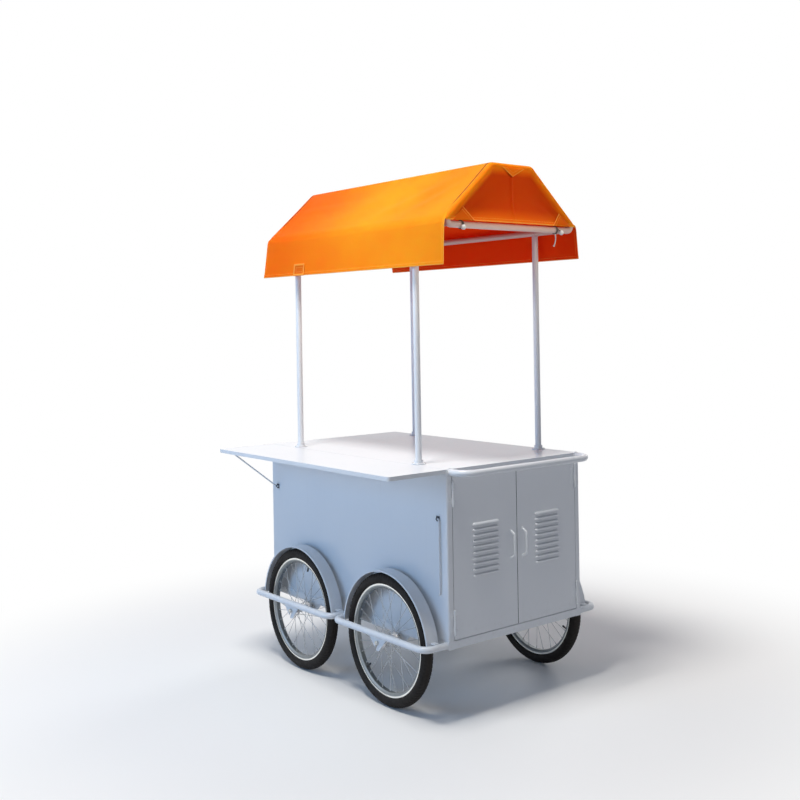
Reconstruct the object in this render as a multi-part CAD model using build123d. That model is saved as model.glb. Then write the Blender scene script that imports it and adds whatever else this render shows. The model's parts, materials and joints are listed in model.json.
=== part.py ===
from build123d import *
import os
from math import asin, cos, degrees, hypot, radians, sin, tan, atan2

# A four-wheeled street vending cart: a sheet-steel cabinet on bicycle wheels with a fold-down serving flap
# and a fabric canopy on posts. Sizes are in millimetres. +X runs along the cart to the door end, -Y is the
# serving side and +Z is up. Pieces are laid out about the middle of the cabinet, on the ground, and then
# moved so that the origin lies under the middle of the whole outline.

# Cabinet
body_length = 1206.0
body_width = 690.0
counter_height = 916.0
rail_over_axle = 16.0        # wheel axles to the underside of the chassis rails
sheet = 1.5                 # thickness of the pressed sheet
rail_size = 30.0             # square chassis tube
rail_wall = 2.0
rail_corner = 4.0
cap_thickness = 2.0          # plugs in the ends of the long rails
frame_size = 23.0            # square tube of the posts and the ring under the counter
frame_wall = 1.5
frame_corner = 5.0
plain_return = 15.0          # how far the side panels turn round the plain end
counter_edge = 25.0          # depth of the counter's turned-down edge
panel_gap = 0.5

# Doors
door_gap = 2.5               # seam round each door
door_depth = 18.0
louvre_count = 10
louvre_pitch = 20.8
louvre_width = 130.0
louvre_rise = 9.0
louvre_skin = 1.2
louvre_height = 606.0        # middle of the louvre field above the ground
bow_height = 603.0           # middle of the door handles above the ground
bow_span = 104.0
bow_reach = 20.0
bow_slant = 12.0             # how far each leg leans along the handle
bow_bend = 11.0
bow_radius = 5.0
bow_foot_radius = 8.0
bow_foot_thickness = 3.0
bow_from_seam = 31.0

# Door hinges
hinge_height = 80.0
hinge_inset = 22.0           # from the door's top or bottom edge to the hinge
knuckle_radius = 4.5
knuckle_stand_off = 0.5      # between a barrel and the face behind it
hinge_pin_radius = 2.5
hinge_ball_radius = 4.8
leaf_thickness = 1.5
leaf_width = 16.0
knuckle_gap = 0.3
running_clearance = 0.05
seat_clearance = 0.02

# Wheels
wheel_play = 35.0            # tyre to the middle of an outrigger's legs, along the cart
wheel_stand_off = 44.0       # middle of the tyre to the cabinet's side
tyre_height = 39.0           # tyre above the rim's edge
tyre_section = 23.0
tyre_wall = 4.0
tyre_seat_gap = 0.2
rim_lip = 8.0                # rim's edge above its bed
rim_shoulder = 3.0           # bed to the start of the taper
rim_taper = 6.0
rim_width = 27.0
rim_wall = 2.0
rim_inner_width = 16.0
hub_length = 100.0           # over the lock nuts
hub_shell_length = 80.0
hub_flange_spacing = 58.0
hub_flange_radius = 24.0
hub_flange_thickness = 3.0
hub_barrel_radius = 13.0
hub_end_radius = 11.0
spoke_circle_radius = 21.0
spoke_radius = 1.0
spoke_count = 28
spoke_crosses = 2
spoke_rim_offset = 2.0       # nipple holes either side of the rim's middle
spoke_end_gap = 0.4
spoke_lift = 0.9             # outer spokes off their flange, to pass its edge
valve_radius = 3.0
valve_length = 34.0
valve_clearance = 0.3
valve_angles = {
    "front_door_end": 224.0,
    "front_plain_end": 74.0,
    "rear_door_end": -23.0,
    "rear_plain_end": 150.0,
}
axle_radius = 5.0
axle_tail = 3.0              # thread beyond the nut
cone_radius = 8.0
cone_gap = 0.3
nut_across_flats = 15.0
nut_thickness = 8.0

# Outriggers and wheel guards
tube_radius = 12.5
tube_wall = 1.5
outrigger_reach = 100.0
outrigger_gap = 11.0         # between the two outriggers of a side
outrigger_inset = 15.0       # middle of the outer legs to the cabinet's end
outrigger_bend = 38.0
dropout_thickness = 4.0
dropout_gap = 0.3
dropout_half_width = 62.0
dropout_shoulder = 2.0       # straight stretch at the plate's widest
dropout_lobe_radius = 15.0
dropout_tip_drop = 17.5      # centre of the hook's lobe below the axle
dropout_slot_angle = 240.0
guard_clearance = 12.0       # tyre to the wheel guard
guard_width = 53.0
guard_lip = 5.0
guard_tab_width = 22.0       # tabs that hold the guard on its outrigger
guard_tab_thickness = 3.0
guard_tab_gap = 0.1

# Push handle
handle_reach = 85.0
handle_bend = 62.0
handle_drop = 11.0           # below the counter's top
handle_inset = 16.0          # from the cabinet's sides

# Serving flap and its stays
flap_depth = 260.0
flap_gap = 2.0
flap_edge = 15.0
flap_corner = 12.0
flap_axis_out = 10.5         # hinge axis in front of the cabinet
flap_axis_drop = 14.5        # hinge axis below the counter's top
flap_hinge_inset = 60.0
flap_hinge_width = 60.0
flap_knuckle_radius = 4.0
flap_pin_radius = 2.0
flap_leaf = 2.0
flap_leaf_drop = 13.0
flap_leaf_depth = 18.0
stay_radius = 3.0
stay_bend = 6.0
stay_drop = 182.0            # pivot below the counter's top
stay_out = 5.5               # pivot in front of the cabinet
stay_inset = 40.0            # rod to the nearer end of the cabinet
stay_tail = 17.0
stay_tip_out = 222.0
stay_tip_drop = 14.0
lug_thickness = 3.0
lug_radius = 6.0
lug_offset = 10.0            # lug to the rod, along the cart
lug_base_height = 34.0
lug_base_width = 18.0
lug_base_thickness = 2.0
stay_tip_gap = 0.5

# Canopy
post_inset_x = 195.0
frame_bend = 16.0
ridge_height = 2025.0
roof_rise = 226.0            # ridge tubes above the chords
ridge_half = 100.0
gable_inset = 3.0            # gable frame inside the cabinet's end
chord_stub = 12.0
cope_gap = 0.1
foot_radius = 27.0
foot_thickness = 4.0
collar_radius = 17.0
collar_height = 16.0
gusset_length = 30.0         # from a post's middle along the eave beam
gusset_depth = 32.0          # below the beam's middle
gusset_thickness = 3.0
cover_clearance = 0.5
cover_thickness = 2.0
front_valance_fall = 148.0   # below the chords, longer on the serving side
rear_valance_fall = 112.0
valance_flare = 8.0          # degrees out from upright
hem_gap = 1.5
fold_thickness = 1.5
fold_half = 58.0
fold_drop = 34.0
corner_fold_hem = 100.0      # from a corner of the gable panel along its hem
corner_fold_slope = 75.0     # and up along its slope
tie_offset = 255.0
tie_cord_radius = 1.6
tie_clearance = 0.4
tie_ball_radius = 8.0

# Places that follow from the sizes
half_length = body_length / 2
half_width = body_width / 2
inner_leg_x = outrigger_gap / 2 + tube_radius
outrigger_span = half_length - outrigger_inset - inner_leg_x
wheel_x = inner_leg_x + outrigger_span / 2
wheel_y = half_width + wheel_stand_off
wheel_radius = outrigger_span / 2 - wheel_play
rim_edge_radius = wheel_radius - tyre_height
rim_bed_radius = rim_edge_radius - rim_lip
rim_shoulder_radius = rim_bed_radius - rim_shoulder
rim_inner_radius = rim_shoulder_radius - rim_taper
ground_clearance = wheel_radius + rail_over_axle
rail_top = ground_clearance + rail_size
rail_middle = ground_clearance + rail_size / 2
sheet_bend = frame_corner + sheet
door_return = sheet + frame_size
counter_underside = counter_height - sheet
edge_bottom = counter_height - counter_edge
post_top = counter_underside - frame_size
handle_height = counter_height - handle_drop
flap_axis_y = -half_width - flap_axis_out
flap_axis_z = counter_height - flap_axis_drop
stay_pivot_y = -half_width - stay_out
stay_pivot_z = counter_height - stay_drop
stay_tip_y = -half_width - stay_tip_out
stay_tip_z = counter_height - stay_tip_drop
stay_length = hypot(stay_tip_y - stay_pivot_y, stay_tip_z - stay_pivot_z)
stay_lean = degrees(atan2(stay_tip_z - stay_pivot_z, stay_pivot_y - stay_tip_y))
chord_height = ridge_height - roof_rise
front_valance_bottom = chord_height - front_valance_fall
rear_valance_bottom = chord_height - rear_valance_fall
knee_half = half_width       # sharp knee of the gable frame over the cabinet's side
pitch = atan2(roof_rise, knee_half - ridge_half)
knee_tangent = frame_bend / tan(pitch / 2)
knee_centre = (knee_half - knee_tangent, chord_height + frame_bend)
post_x = half_length - post_inset_x
post_y = knee_centre[0] + frame_bend * cos(radians(45))
eave_height = knee_centre[1] - frame_bend * sin(radians(45))
gable_x = half_length - gable_inset
corners = {
    "front_door_end": (1, -1),
    "front_plain_end": (-1, -1),
    "rear_door_end": (1, 1),
    "rear_plain_end": (-1, 1),
}


def box(x, y, z):
    """Solid between pairs of limits along each axis."""
    size = (x[1] - x[0], y[1] - y[0], z[1] - z[0])
    middle = ((x[0] + x[1]) / 2, (y[0] + y[1]) / 2, (z[0] + z[1]) / 2)
    return Pos(*middle) * Box(*size)


def square_tube(size, wall, corner, length):
    """Hollow square tube standing on the ground plane."""
    hollow = RectangleRounded(size - 2 * wall, size - 2 * wall, corner - wall)
    return extrude(RectangleRounded(size, size, corner) - hollow, length)


def along_x(piece):
    return Rot(0, 90, 0) * piece


def along_y(piece):
    return Rot(-90, 0, 0) * piece


def round_tube(radius, wall, length):
    return extrude(Circle(radius) - Circle(radius - wall), length)


def bent_path(points, bend):
    """Path in the drawing plane with each corner rounded to the same radius."""
    return FilletPolyline(*points, radius=bend)


def bent_tube(points, bend, radius, wall):
    """Tube along a bent path; a wall of zero makes a solid rod."""
    path = bent_path(points, bend)
    section = Circle(radius)
    if wall:
        section -= Circle(radius - wall)
    start = Plane(origin=path @ 0, z_dir=path % 0)
    return sweep(start * section, path=path)


def bent_band(outer_points, inner_points, outer_bend, inner_bend):
    """Face between two bent paths that run side by side."""
    outer = bent_path(outer_points, outer_bend)
    inner = bent_path(inner_points, inner_bend)
    ends = [Line(outer @ 1, inner @ 1), Line(inner @ 0, outer @ 0)]
    return make_face(outer.edges() + inner.edges() + ends)


def chassis_frame():
    pieces = []
    rail_length = body_length - 2 * cap_thickness
    long_tube = square_tube(rail_size, rail_wall, rail_corner, rail_length)
    long_rail = along_x(Pos(0, 0, -rail_length / 2) * long_tube)
    cap = Box(cap_thickness, rail_size, rail_size)
    rail_y = half_width - rail_size / 2
    for side in (-1, 1):
        pieces.append(Pos(0, side * rail_y, rail_middle) * long_rail)
        for end in (-1, 1):
            pieces.append(Pos(end * (half_length - cap_thickness / 2), side * rail_y, rail_middle) * cap)
    cross_length = body_width - 2 * rail_size
    cross_tube = square_tube(rail_size, rail_wall, rail_corner, cross_length)
    cross_rail = along_y(Pos(0, 0, -cross_length / 2) * cross_tube)
    for x in (-half_length + rail_size / 2, -wheel_x, wheel_x, half_length - rail_size / 2):
        pieces.append(Pos(x, 0, rail_middle) * cross_rail)
    return pieces


def cabinet_frame():
    pieces = []
    upright = square_tube(frame_size, frame_wall, frame_corner, post_top - rail_top)
    ring_height = counter_underside - frame_size / 2
    frame_x = half_length - sheet - frame_size / 2
    frame_y = half_width - sheet - frame_size / 2
    for end, side in corners.values():
        pieces.append(Pos(end * frame_x, side * frame_y, rail_top) * upright)
    ring_length = body_length - 2 * sheet_bend
    ring_tube = square_tube(frame_size, frame_wall, frame_corner, ring_length)
    ring_rail = along_x(Pos(0, 0, -ring_length / 2) * ring_tube)
    for side in (-1, 1):
        pieces.append(Pos(0, side * frame_y, ring_height) * ring_rail)
    cross_length = body_width - 2 * (sheet + frame_size)
    cross_tube = square_tube(frame_size, frame_wall, frame_corner, cross_length)
    cross_rail = along_y(Pos(0, 0, -cross_length / 2) * cross_tube)
    for end in (-1, 1):
        pieces.append(Pos(end * frame_x, 0, ring_height) * cross_rail)
    return pieces


def side_panel(side):
    """Sheet along one side, turned round both ends of the cabinet."""
    outer = [
        (half_length, -half_width + door_return),
        (half_length, -half_width),
        (-half_length, -half_width),
        (-half_length, -half_width + plain_return),
    ]
    inner = [
        (half_length - sheet, -half_width + door_return),
        (half_length - sheet, -half_width + sheet),
        (-half_length + sheet, -half_width + sheet),
        (-half_length + sheet, -half_width + plain_return),
    ]
    panel_height = edge_bottom - panel_gap - rail_top
    panel = Pos(0, 0, rail_top) * extrude(bent_band(outer, inner, sheet_bend, frame_corner), panel_height)
    return panel if side < 0 else mirror(panel, about=Plane.XZ)


def end_panel():
    limit = half_width - plain_return - panel_gap
    return box((-half_length, -half_length + sheet), (-limit, limit), (rail_top, edge_bottom - panel_gap))


def floor_panel():
    x = half_length - door_return - panel_gap
    y = half_width - door_return - panel_gap
    return box((-x, x), (-y, y), (rail_top, rail_top + sheet))


def countertop():
    outer = extrude(RectangleRounded(body_length, body_width, sheet_bend), counter_edge)
    hollow = RectangleRounded(body_length - 2 * sheet, body_width - 2 * sheet, frame_corner)
    return Pos(0, 0, edge_bottom) * (outer - extrude(hollow, counter_edge - sheet))


def push_handle():
    y = half_width - handle_inset
    x = half_length + handle_reach
    points = [(half_length, -y), (x, -y), (x, y), (half_length, y)]
    return Pos(0, 0, handle_height) * bent_tube(points, handle_bend, tube_radius, tube_wall)


def louvre(skin_x):
    """Pressed hood: a quarter of a round-ended roll, open below, with the cut behind it."""
    straight = louvre_width - 2 * louvre_rise

    def roll(radius):
        bar = along_y(Cylinder(radius, straight))
        ends = [Pos(0, end * straight / 2, 0) * Sphere(radius) for end in (-1, 1)]
        return bar + ends

    quarter = box((0, louvre_rise), (-louvre_width / 2, louvre_width / 2), (0, louvre_rise))
    hood = (roll(louvre_rise) - roll(louvre_rise - louvre_skin)) & quarter
    slot_top = louvre_rise - 2 * louvre_skin
    slot = box((-2 * sheet, louvre_skin), (-straight / 2, straight / 2), (0, slot_top))
    return Pos(skin_x, 0, 0) * hood, Pos(skin_x, 0, 0) * slot


def door_limits(side):
    outer = half_width - door_return - door_gap
    low, high = sorted((side * outer, side * door_gap / 2))
    return low, high


def door(side):
    low, high = door_limits(side)
    bottom = rail_top + door_gap
    top = edge_bottom - door_gap
    tray = box((half_length - door_depth, half_length), (low, high), (bottom, top))
    tray -= box(
        (half_length - door_depth, half_length - sheet),
        (low + sheet, high - sheet),
        (bottom + sheet, top - sheet),
    )
    hood, slot = louvre(half_length)
    first = louvre_height - louvre_pitch * (louvre_count - 1) / 2
    places = [Pos(0, (low + high) / 2, first + n * louvre_pitch) for n in range(louvre_count)]
    tray -= [place * slot for place in places]
    tray += [place * hood for place in places]
    return tray


def door_handle(side):
    half = bow_span / 2
    points = [(0, -half), (bow_reach, -half + bow_slant), (bow_reach, half - bow_slant), (0, half)]
    rod = Plane.XZ * bent_tube(points, bow_bend, bow_radius, 0)
    rod &= box((0, 2 * bow_reach), (-bow_reach, bow_reach), (-bow_span, bow_span))
    foot = along_x(Cylinder(bow_foot_radius, bow_foot_thickness))
    feet = [Pos(bow_foot_thickness / 2, 0, end * half) * foot for end in (-1, 1)]
    return Pos(half_length, side * bow_from_seam, bow_height) * (rod + feet)


def hinge_places():
    """Bottoms of the lower and the upper hinge of a door."""
    bottom = rail_top + door_gap + hinge_inset
    top = edge_bottom - door_gap - hinge_inset - hinge_height
    return bottom, top


def hinge_axis(side):
    x = half_length + knuckle_radius + knuckle_stand_off
    y = side * (half_width - door_return - door_gap / 2)
    return x, y


def knuckle(bore, low, high):
    ring = Circle(knuckle_radius) - Circle(bore)
    return Pos(0, 0, low) * extrude(ring, high - low)


def hinge_leaf(outward, spans, bore):
    """Leaf and its own knuckles about an upright axis; outward is the side that the leaf lies on."""
    back = -knuckle_radius - knuckle_stand_off
    near = knuckle_radius + knuckle_gap
    far = near + leaf_width
    limits = sorted((outward * near, outward * far))
    piece = box((back, back + leaf_thickness), limits, (0, hinge_height))
    for low, high in spans:
        link_limits = sorted((0, outward * (near + 1.0)))
        link = box((back, back + leaf_thickness), link_limits, (low, high))
        link += box((back, -bore - running_clearance), sorted((0, outward * knuckle_radius)), (low, high))
        barrel = knuckle(bore, low, high)
        link -= Pos(0, 0, low) * extrude(Circle(knuckle_radius), high - low)
        piece += [link, barrel]
    return piece


def hinge_spans():
    """Heights of the two fixed knuckles and of the door's knuckle between them."""
    third = hinge_height / 3
    fixed = [(0, third - knuckle_gap), (hinge_height - third + knuckle_gap, hinge_height)]
    return fixed, [(third, hinge_height - third)]


def fixed_hinge_leaves():
    fixed, _ = hinge_spans()
    pieces = []
    for side in (-1, 1):
        x, y = hinge_axis(side)
        leaf = hinge_leaf(side, fixed, hinge_pin_radius + seat_clearance)
        for height in hinge_places():
            pieces.append(Pos(x, y, height) * leaf)
            pieces.append(Pos(x, y, height) * hinge_pin())
    return pieces


def hinge_pin():
    pin = Pos(0, 0, hinge_height / 2) * Cylinder(hinge_pin_radius, hinge_height)
    reach = (hinge_ball_radius**2 - hinge_pin_radius**2) ** 0.5
    balls = [Pos(0, 0, height) * Sphere(hinge_ball_radius) for height in (-reach, hinge_height + reach)]
    return pin + balls


def door_hinge_leaves(side):
    _, moving = hinge_spans()
    x, y = hinge_axis(side)
    leaf = hinge_leaf(-side, moving, hinge_pin_radius + running_clearance)
    return [Pos(x, y, height) * leaf for height in hinge_places()]


def spin(profile, arc=360.0):
    """Turn a profile drawn as (along the axle, radius) about the Y axis."""
    return revolve(profile, axis=Axis.Y, revolution_arc=arc)


def wheel_profile(points):
    """Closed face from (along the axle, radius) pairs."""
    return make_face(Polyline(*[(radius, across) for across, radius in points], close=True))


def tyre(valve_angle):
    middle = wheel_radius - tyre_section
    seat = rim_edge_radius + tyre_seat_gap
    ring = Pos(middle, 0) * (Circle(tyre_section) - Circle(tyre_section - tyre_wall))
    outside = Pos(seat + tyre_section, 0) * Rectangle(2 * tyre_section, 2 * tyre_section)
    stem_top = rim_bed_radius
    stem = Pos(stem_top - valve_length / 2, 0, 0) * along_x(Cylinder(valve_radius, valve_length))
    return [spin(ring & outside), Rot(0, -valve_angle, 0) * stem]


def rim(valve_angle):
    half = rim_width / 2
    well = half - rim_wall
    inner = rim_inner_width / 2
    outline = [
        (-half, rim_edge_radius),
        (-well, rim_edge_radius),
        (-well, rim_bed_radius),
        (well, rim_bed_radius),
        (well, rim_edge_radius),
        (half, rim_edge_radius),
        (half, rim_shoulder_radius),
        (inner, rim_inner_radius),
        (-inner, rim_inner_radius),
        (-half, rim_shoulder_radius),
    ]
    depth = rim_edge_radius - rim_inner_radius
    hole = Pos(rim_inner_radius, 0, 0) * along_x(Cylinder(valve_radius + valve_clearance, 2 * depth))
    return spin(wheel_profile(outline)) - Rot(0, -valve_angle, 0) * hole


def hub():
    end = hub_shell_length / 2
    flange_in = hub_flange_spacing / 2 - hub_flange_thickness / 2
    flange_out = hub_flange_spacing / 2 + hub_flange_thickness / 2
    bore = axle_radius + running_clearance
    half = [
        (end, bore),
        (end, hub_end_radius),
        (flange_out, hub_barrel_radius),
        (flange_out, hub_flange_radius),
        (flange_in, hub_flange_radius),
        (flange_in, hub_barrel_radius),
    ]
    outline = half + [(-across, radius) for across, radius in reversed(half)]
    return spin(wheel_profile(outline))


def spokes():
    """Crossed spokes: each side alternates spokes that leave the outer and the inner face of its flange."""
    pieces = []
    per_side = spoke_count // 2
    step = 360.0 / per_side
    lean = step * spoke_crosses
    inner_face = hub_flange_thickness / 2 + spoke_radius
    face = {1: inner_face + spoke_lift, -1: inner_face}
    rim_end = rim_inner_radius - spoke_end_gap
    for side in (-1, 1):
        for n in range(per_side):
            leading = 1 if n % 2 else -1
            at_rim = radians(n * step + (step / 2 if side > 0 else 0.0))
            at_hub = at_rim + leading * radians(lean)
            start_y = side * (hub_flange_spacing / 2 + leading * face[leading])
            start = Vector(spoke_circle_radius * cos(at_hub), start_y, spoke_circle_radius * sin(at_hub))
            finish = Vector(rim_end * cos(at_rim), side * spoke_rim_offset, rim_end * sin(at_rim))
            line = finish - start
            pieces.append(extrude(Plane(origin=start, z_dir=line) * Circle(spoke_radius), line.length))
    return pieces


def at_wheel(end, side, piece):
    return Pos(end * wheel_x, side * wheel_y, wheel_radius) * piece


def axle_half():
    """Axle end beyond the hub's lock nut: plate, nut and a little thread."""
    return hub_length / 2 + dropout_gap + dropout_thickness + nut_thickness + axle_tail


def wheel_axles():
    axle = along_y(Cylinder(axle_radius, 2 * axle_half()))
    return [at_wheel(end, side, axle) for end, side in corners.values()]


def axle_nuts():
    bore = Circle(axle_radius + seat_clearance)
    hexagon = RegularPolygon(nut_across_flats / 2, 6, major_radius=False) - bore
    nut_face = hub_length / 2 + dropout_gap + dropout_thickness
    nut = Pos(0, nut_face, 0) * along_y(extrude(hexagon, nut_thickness))
    cone_start = hub_shell_length / 2 + cone_gap
    cone = Pos(0, cone_start, 0) * along_y(extrude(Circle(cone_radius) - bore, hub_length / 2 - cone_start))
    pieces = []
    for end, side in corners.values():
        for piece in (nut, cone):
            pieces.append(at_wheel(end, side, piece))
            pieces.append(at_wheel(end, side, mirror(piece, about=Plane.XZ)))
    return pieces


def dropout_plate(top):
    """Hooked axle plate about the axle's middle, standing in the XZ plane, from its lobe up to top."""
    lobe = Pos(0, -dropout_tip_drop) * Circle(dropout_lobe_radius)
    shoulder = Pos(0, top - dropout_shoulder / 2) * Rectangle(2 * dropout_half_width, dropout_shoulder)
    plate = make_hull((lobe + shoulder).edges())
    slot_length = 3 * dropout_lobe_radius
    slot = Pos(slot_length / 2, 0) * SlotCenterToCenter(slot_length, 2 * (axle_radius + dropout_gap))
    plate -= Rot(0, 0, dropout_slot_angle) * slot
    return extrude(Plane.XZ * plate, dropout_thickness / 2, both=True)


def outrigger(end, side):
    """Tube loop round the outside of a wheel, with the hooked plate that holds the axle under it."""
    legs = outrigger_span / 2
    points = [(-legs, 0), (-legs, -outrigger_reach), (legs, -outrigger_reach), (legs, 0)]
    loop = bent_tube(points, outrigger_bend, tube_radius, tube_wall)
    plate_y = -wheel_stand_off - hub_length / 2 - dropout_gap - dropout_thickness / 2
    rise = rail_middle - wheel_radius
    plate = Pos(0, plate_y, -rise) * dropout_plate(rise)
    bar = Pos(0, -outrigger_reach, 0) * along_x(Cylinder(tube_radius, outrigger_span))
    piece = Pos(end * wheel_x, -half_width, rail_middle) * (loop + (plate - bar))
    return piece if side < 0 else mirror(piece, about=Plane.XZ)


def inner_dropouts():
    """Axle plates hung under the long rails, inside the wheels."""
    drop = ground_clearance - wheel_radius
    plate_y = -hub_length / 2 - dropout_gap - dropout_thickness / 2
    plate = dropout_plate(drop)
    return [at_wheel(end, side, Pos(0, side * plate_y, 0) * plate) for end, side in corners.values()]


def wheel_guard(end, side):
    """Half-round arch of channelled sheet over a tyre, with tabs on the outrigger's two legs."""
    inner = wheel_radius + guard_clearance
    outer = inner + sheet
    lip = inner - guard_lip
    low = rail_middle - wheel_radius
    start = degrees(asin(low / lip))
    edge = guard_width / 2
    fold = edge - sheet
    right = [(edge, outer), (edge, lip), (fold, lip), (fold, inner)]
    outline = right + [(-across, radius) for across, radius in reversed(right)]
    arch = Rot(0, -start, 0) * spin(wheel_profile(outline), 2 * start - 180.0)
    leg = outrigger_span / 2
    tab_bottom = low + tube_radius + guard_tab_gap
    root = (inner**2 - tab_bottom**2) ** 0.5
    half_tab = guard_tab_width / 2
    for sign in (-1, 1):
        limits = sorted((sign * root, sign * leg))
        arch += box(limits, (-half_tab, half_tab), (tab_bottom, tab_bottom + guard_tab_thickness))
    return at_wheel(end, side, arch)


def flap():
    outer_y = -half_width - flap_depth
    root_y = -half_width - flap_gap
    plan = box((-half_length, half_length), (outer_y, root_y), (counter_height - flap_edge, counter_height))
    outer_corners = plan.edges().filter_by(Axis.Z).group_by(Axis.Y)[0]
    plan = fillet(outer_corners, flap_corner)
    hollow = box(
        (-half_length + sheet, half_length - sheet),
        (outer_y + sheet, root_y),
        (counter_height - flap_edge, counter_height - sheet),
    )
    hollow_corners = hollow.edges().filter_by(Axis.Z).group_by(Axis.Y)[0]
    return plan - fillet(hollow_corners, flap_corner - sheet)


def flap_hinge_places():
    reach = half_length - flap_hinge_inset
    return (-reach, 0.0, reach)


def flap_hinge_spans():
    third = flap_hinge_width / 3
    half = flap_hinge_width / 2
    fixed = [(-half, -half + third - knuckle_gap), (half - third + knuckle_gap, half)]
    return fixed, (-half + third, half - third)


def along_cart(profile, low, high):
    """Extrude a (Y, Z) profile between two places along the cart."""
    return Pos(low, 0, 0) * extrude(Plane.YZ * profile, high - low)


def flap_fixed_hinges():
    """Leaves on the counter's edge with two knuckles each, and the hinge pins."""
    fixed, _ = flap_hinge_spans()
    out = flap_axis_out
    arm = Pos(out / 2, 0) * Rectangle(out, flap_leaf)
    leaf = Rectangle(flap_leaf, flap_leaf_drop)
    leaf = Pos(out - flap_leaf / 2, (flap_leaf - flap_leaf_drop) / 2) * leaf
    profile = Circle(flap_knuckle_radius) + arm + leaf
    profile -= Circle(flap_pin_radius + seat_clearance)
    pin = along_x(Cylinder(flap_pin_radius, flap_hinge_width))
    pieces = []
    for x in flap_hinge_places():
        place = Pos(x, flap_axis_y, flap_axis_z)
        pieces.append(place * pin)
        pieces += [place * along_cart(profile, low, high) for low, high in fixed]
    return pieces


def flap_moving_hinges():
    """Leaves under the flap, each with one knuckle."""
    _, (low, high) = flap_hinge_spans()
    rise = flap_axis_drop - sheet
    arm = Pos(0, rise / 2) * Rectangle(flap_leaf, rise)
    leaf = Rectangle(flap_leaf_depth, flap_leaf)
    leaf = Pos((flap_leaf - flap_leaf_depth) / 2, rise - flap_leaf / 2) * leaf
    profile = Circle(flap_knuckle_radius) + arm + leaf
    profile -= Circle(flap_pin_radius + running_clearance)
    place = Pos(0, flap_axis_y, flap_axis_z)
    return [Pos(x, 0, 0) * place * along_cart(profile, low, high) for x in flap_hinge_places()]


def lug(bore, rise):
    """Round-ended plate with a cross hole at the origin, reaching rise along its drawing's Y."""
    plate = Circle(lug_radius) + Pos(0, rise / 2) * Rectangle(2 * lug_radius, rise)
    return extrude(Plane.YZ * (plate - Circle(bore)), lug_thickness / 2, both=True)


def flap_eyes():
    """Eyes under the flap for the free ends of the stays."""
    eye = lug(stay_radius + dropout_gap, stay_tip_drop - sheet)
    x = half_length - stay_inset - lug_offset
    return [Pos(end * x, stay_tip_y, stay_tip_z) * eye for end in (-1, 1)]


def stay_brackets():
    """Lugs on the cabinet's side that the stays turn in."""
    turned = Rot(-90, 0, 0) * lug(stay_radius + running_clearance, stay_out - lug_base_thickness)
    turned &= box((-lug_thickness, lug_thickness), (-2 * lug_radius, stay_out), (-lug_radius, lug_radius))
    base_y = stay_out - lug_base_thickness / 2
    base = Pos(0, base_y, 0) * Box(lug_base_width, lug_base_thickness, lug_base_height)
    x = half_length - stay_inset - lug_offset
    return [Pos(end * x, stay_pivot_y, stay_pivot_z) * (turned + base) for end in (-1, 1)]


def stay(end, angle):
    """Rod with both ends turned in, swung about its pivot to an angle from +Y towards +Z."""
    tip = lug_offset - lug_thickness / 2 - stay_tip_gap
    points = [(-stay_tail, 0), (0, 0), (0, stay_length), (-tip, stay_length)]
    rod = Rot(angle, 0, 0) * bent_tube(points, stay_bend, stay_radius, 0)
    if end < 0:
        rod = mirror(rod, about=Plane.YZ)
    return Pos(end * (half_length - stay_inset), stay_pivot_y, stay_pivot_z) * rod


def canopy_post(end, side):
    """Upright from the counter to the eave beam, its top coped to the beam."""
    height = eave_height - counter_height
    post = round_tube(tube_radius, tube_wall, height)
    core = Pos(0, 0, height / 2) * Cylinder(tube_radius, height)
    ears = [(-gusset_length, height), (gusset_length, height), (0, height - gusset_depth)]
    gusset = extrude(Plane.XZ * make_face(Polyline(*ears, close=True)), gusset_thickness / 2, both=True)
    beam = Pos(0, 0, height) * along_x(Cylinder(tube_radius + cope_gap, 4 * gusset_length))
    return Pos(end * post_x, side * post_y, counter_height) * (post + (gusset - core) - beam)


def post_feet():
    bore = tube_radius + cope_gap
    flange = extrude(Circle(foot_radius) - Circle(bore), foot_thickness)
    collar = extrude(Circle(collar_radius) - Circle(bore), collar_height)
    foot = flange + collar
    return [Pos(end * post_x, side * post_y, counter_height) * foot for end, side in corners.values()]


def long_tubes(y, z):
    """Pair of tubes along the canopy, ending at the gable frames."""
    length = 2 * (gable_x - tube_radius)
    tube = along_x(Pos(0, 0, -length / 2) * round_tube(tube_radius, tube_wall, length))
    return [Pos(0, side * y, z) * tube for side in (-1, 1)]


def gable_frame(end):
    """Bent tube over the end of the canopy and the straight chord that closes it."""
    chord_half = knee_half - knee_tangent - chord_stub
    points = [
        (-chord_half, chord_height),
        (-knee_half, chord_height),
        (-ridge_half, ridge_height),
        (ridge_half, ridge_height),
        (knee_half, chord_height),
        (chord_half, chord_height),
    ]
    arch = Plane.YZ * bent_tube(points, frame_bend, tube_radius, tube_wall)
    chord = along_y(Pos(0, 0, -chord_half) * round_tube(tube_radius, tube_wall, 2 * chord_half))
    return [Pos(end * gable_x, 0, 0) * arch, Pos(end * gable_x, 0, chord_height) * chord]


def cover_points(offset):
    """Corners of the cloth's section, a given distance outside the middle of the gable frame."""
    bend = frame_bend + offset
    flare = radians(valance_flare)
    slope_normal = Vector(sin(pitch), cos(pitch))
    valance_normal = Vector(cos(flare), sin(flare))
    centre = Vector(*knee_centre)
    knee = centre + (slope_normal + valance_normal) * (bend / (1 + slope_normal.dot(valance_normal)))
    foot = centre + valance_normal * bend
    front_bottom = foot.X + (foot.Y - front_valance_bottom) * tan(flare)
    rear_bottom = foot.X + (foot.Y - rear_valance_bottom) * tan(flare)
    ridge = (ridge_half + offset * tan(pitch / 2), ridge_height + offset)
    front = [(-front_bottom, front_valance_bottom), (-knee.X, knee.Y), (-ridge[0], ridge[1])]
    rear = [ridge, (knee.X, knee.Y), (rear_bottom, rear_valance_bottom)]
    return front + rear, bend


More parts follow.
